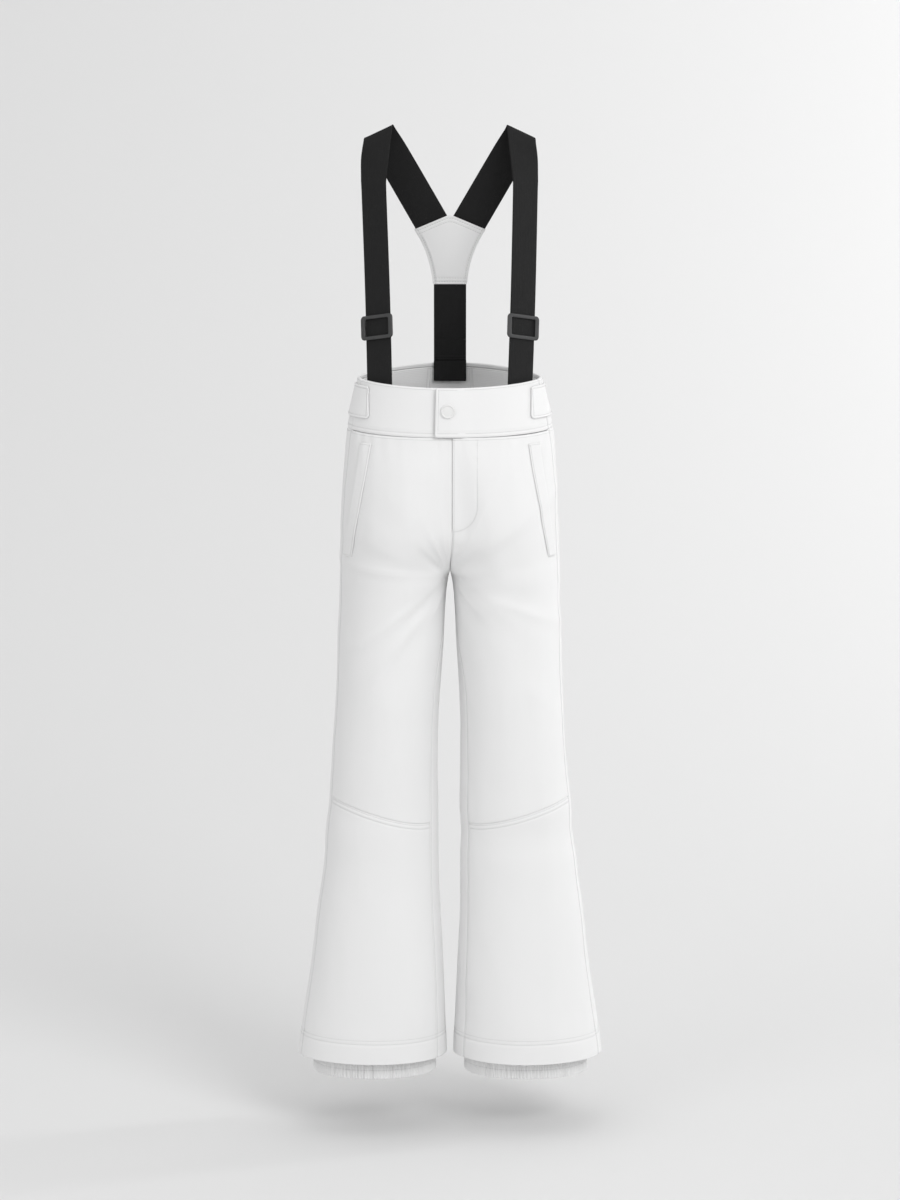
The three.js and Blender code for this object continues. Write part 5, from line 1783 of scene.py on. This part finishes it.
            for away, row in ((seat, 0.0030), (seat, 0.0075), (sides, 0.0030)):
                crown -= 0.0004 * np.exp(-((away - row) / 0.0009) ** 2)
            layer.outer = layer.outer + normal * crown[..., None]
            if face < 0:
                layer.outer = layer.outer[:, ::-1]
                layer.normal = layer.normal[:, ::-1]
            self.settle(layer, ["back_yoke"] if face > 0 else [], SOFTSHELL)
            for name_of, gap in (("top", 0.0030), ("top", 0.0075), ("foot", 0.0030), ("foot", 0.0075),
                                 ("start", 0.0030), ("end", 0.0030)):
                self.sewing.row("yoke_stitches", layer.line(name_of, gap)[3:-3])

    def build_adjuster(self, side: Side) -> None:
        """A three-bar adjuster: a rounded frame before the strap and a middle bar behind it."""
        size = self.adjuster
        mirror = np.array([side.value, 1, 1])
        along = unit((np.array(self.head) - np.array(self.foot)) * mirror)
        turned = math.radians(self.face_turn)
        across = np.array([math.cos(turned), side.value * math.sin(turned), 0])
        across = unit(across - along * (across @ along))
        face = np.cross(across, along)
        centre = np.array(self.foot) * mirror + along * (size.height - self.foot[2]) / along[2]
        clear = self.thick / 2 + 0.0004
        outer = rounded_outline(size.width, size.length, size.corner)
        inner = rounded_outline(size.width - 2 * size.rail, size.length - 2 * size.bar, 0.0015)
        reach = np.linalg.norm(inner - outer, axis=1)[:, None]
        toward = (inner - outer) / reach
        round_off = 0.0009
        arc = np.linspace(0, math.pi / 2, 5)
        quarter = np.stack([round_off * (1 - np.cos(arc)), round_off * np.sin(arc)], 1)
        front = size.depth - round_off
        rings = []
        for step, rise in [*((q[0], front + q[1]) for q in quarter), *((None, q) for q in quarter[::-1])]:
            if step is None:
                place, height = outer + toward * (reach - rise[0]), front + rise[1]
            else:
                place, height = outer + toward * step, rise
            rings.append((place, height))
        rings += [(outer + toward * (reach - q[0]), round_off - q[1]) for q in quarter]
        rings += [(outer + toward * q[0], round_off - q[1]) for q in quarter[::-1]]
        count = len(outer)
        points = np.concatenate([
            np.concatenate([place, np.full((count, 1), clear + height)], 1) for place, height in rings
        ])
        total = len(rings)
        faces = [
            (r * count + i, r * count + (i + 1) % count,
             (r + 1) % total * count + (i + 1) % count, (r + 1) % total * count + i)
            for r in range(total) for i in range(count)
        ]
        shell = bmesh.new()
        corners = [shell.verts.new(point) for point in points]
        for loop in faces:
            shell.faces.new([corners[i] for i in loop])
        back = clear + size.middle_depth
        middle = (self.width + 2 * size.cheek, size.middle_bar, size.middle_depth)
        bars = [((0, 0, -back + size.middle_depth / 2), middle)]
        for end in (-1, 1):
            place = (end * (self.width + size.cheek + 0.0002) / 2, 0, (clear + 0.0005 - back) / 2)
            bars.append((place, (size.cheek, size.length - 2 * size.bar, clear + 0.0005 + back)))
        for place, extent in bars:
            block = bmesh.new()
            shape = Matrix.Translation(place) @ Matrix.Diagonal((*extent, 1))
            bmesh.ops.create_cube(block, size=1.0, matrix=shape)
            bmesh.ops.bevel(block, geom=block.edges[:], offset=0.0003, segments=2, affect="EDGES",
                            profile=0.5)
            part = bpy.data.meshes.new("bar")
            block.to_mesh(part)
            block.free()
            shell.from_mesh(part)
            bpy.data.meshes.remove(part)
        shell.transform(Matrix((
            (across[0], along[0], face[0], centre[0]),
            (across[1], along[1], face[1], centre[1]),
            (across[2], along[2], face[2], centre[2]),
            (0, 0, 0, 1),
        )))
        bmesh.ops.recalc_face_normals(shell, faces=shell.faces)
        mesh = bpy.data.meshes.new(f"strap_adjuster_{side.label}")
        shell.to_mesh(mesh)
        shell.free()
        mesh.materials.append(self.wardrobe.get(PLASTIC))
        piece = add_object(mesh.name, mesh)
        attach(piece, f"buckle_{side.label}")
        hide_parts(f"buckle_{side.label}")

    def build(self) -> None:
        """Builds the whole harness."""
        for side in Side:
            self.build_front(side)
            self.build_adjuster(side)
        self.build_back()
        self.build_yoke()
        for foot_z in (0.014, 0.0175):
            row = np.stack([np.linspace(-0.018, 0.018, 40), np.full(40, 0), np.full(40, foot_z)], -1)
            row[:, 1] = self.back_foot[1] - self.thick * 1.5 - 0.0007 - (foot_z - self.back_foot[2]) * 0.088
            self.sewing.row("harness_stitches", row)
        # The yoke's grey thread is painted shade; the harness's black thread is its own colour.
        threads = (("yoke_stitches", THREAD_PAINTED_SHADE, "softshell"), ("harness_stitches", DARK_THREAD, "webbing"))
        for group, thread, slot in threads:
            stitches = self.sewing.sew(group, thread)
            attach(stitches, "suspenders")
        LOG.info("the suspenders are built")


# --------------------------------------------------------------------- what CAD nodes stay


DRESSED = {
    "snap_socket": STEEL,
    "snap_stud": STEEL,
    "zip_teeth_left": PLASTIC,
    "zip_teeth_right": PLASTIC,
    "zip_stop": STEEL,
    "zip_slider": STEEL,
    "zip_pull": STEEL,
}


def dress_nodes(wardrobe: Wardrobe) -> None:
    """Gives the CAD nodes that stay their finishes."""
    for name, finish in DRESSED.items():
        wardrobe.dress(FRAME["nodes"][name], finish)
        LOG.info("%s wears %s", name, finish.name)


# ------------------------------------------------------------------------------- studio


@dataclass
class Studio:
    """A pale sweep, soft light and the camera."""

    target: tuple[float, float, float] = (0.0, 0.0, -0.281)
    distance: float = 5.0
    pitch: float = 10.0
    lens: float = 120.0
    floor_z: float = -0.956
    sweep: float = 1.0  # how far the floor runs behind before it turns up
    radius: float = 4.0
    backdrop: tuple[float, float, float] = (0.73, 0.73, 0.73)

    def build_camera(self) -> None:
        """Stands the camera in front, a little above."""
        pitch = math.radians(self.pitch)
        data = bpy.data.cameras.new("camera")
        data.lens = self.lens
        data.dof.use_dof = False
        data.clip_end = 60.0
        camera = bpy.data.objects.new("camera", data)
        target = Vector(self.target)
        camera.location = target + self.distance * Vector((0.0, -math.cos(pitch), math.sin(pitch)))
        camera.rotation_euler = (target - camera.location).to_track_quat("-Z", "Y").to_euler()
        bpy.context.scene.collection.objects.link(camera)
        bpy.context.scene.camera = camera

    def build_sweep(self) -> None:
        """Lays the floor, which turns up into a wall behind."""
        angle = np.linspace(0, math.pi / 2, 24)
        y = np.concatenate([[-7.0], self.sweep + self.radius * np.sin(angle), [self.sweep + self.radius]])
        z = np.concatenate([[0.0], self.radius * (1 - np.cos(angle)), [7.0]]) + self.floor_z
        vertices = np.array([[x, b, c] for x in (-9.0, 9.0) for b, c in zip(y, z)])
        count = len(y)
        faces = np.array([[i, i + count, i + count + 1, i + 1] for i in range(count - 1)])
        material = bpy.data.materials.new("studio_sweep")
        material.use_nodes = True
        shader = material.node_tree.nodes["Principled BSDF"]
        shader.inputs["Base Color"].default_value = (*self.backdrop, 1.0)
        shader.inputs["Roughness"].default_value = 0.95
        shader.inputs["Specular IOR Level"].default_value = 0.1
        write_mesh("studio_floor", vertices, faces, material)

    def light(self, name: str, place: Sequence[float], size: float, power: float,
              aim: Sequence[float] | None = None) -> None:
        """Adds a soft area light that faces the object, or what aim says."""
        data = bpy.data.lights.new(name, "AREA")
        data.shape = "DISK"
        data.size = size
        data.energy = power
        lamp = bpy.data.objects.new(name, data)
        lamp.location = Vector(place)
        lamp.rotation_euler = (Vector(aim or self.target) - lamp.location).to_track_quat("-Z", "Y").to_euler()
        bpy.context.scene.collection.objects.link(lamp)

    def build(self) -> None:
        """Builds the whole studio."""
        self.build_camera()
        self.build_sweep()
        world = bpy.data.worlds.new("studio")
        world.use_nodes = True
        world.node_tree.nodes["Background"].inputs["Color"].default_value = (1.0, 1.0, 1.0, 1.0)
        world.node_tree.nodes["Background"].inputs["Strength"].default_value = 0.70
        bpy.context.scene.world = world
        self.light("key", (2.4, -3.4, 2.4), 2.6, 92.0)
        self.light("fill", (-3.0, -3.0, 1.2), 2.8, 24.0)
        self.light("top", (0.1, 0.2, 3.2), 2.6, 10.0)
        self.light("wash", (4.6, 1.6, 1.2), 2.0, 170.0, (2.6, 5.0, 0.6))


# --------------------------------------------------------------------------------- main


def main() -> None:
    """Builds every sub-assembly in order."""
    logging.basicConfig(level=logging.INFO, format="%(name)s: %(message)s")
    bpy.context.scene.view_settings.view_transform = "Standard"
    Studio().build()
    wardrobe = Wardrobe()
    sewing = Sewing(wardrobe)
    form = BodyForm()
    Trousers(form, wardrobe, sewing).build()
    Waistband(form, wardrobe, sewing).build()
    for side in Side:
        Gaiter(side, wardrobe, sewing).build()
    Suspenders(wardrobe, sewing).build()
    dress_nodes(wardrobe)
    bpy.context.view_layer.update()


if __name__ == "__main__":
    main()
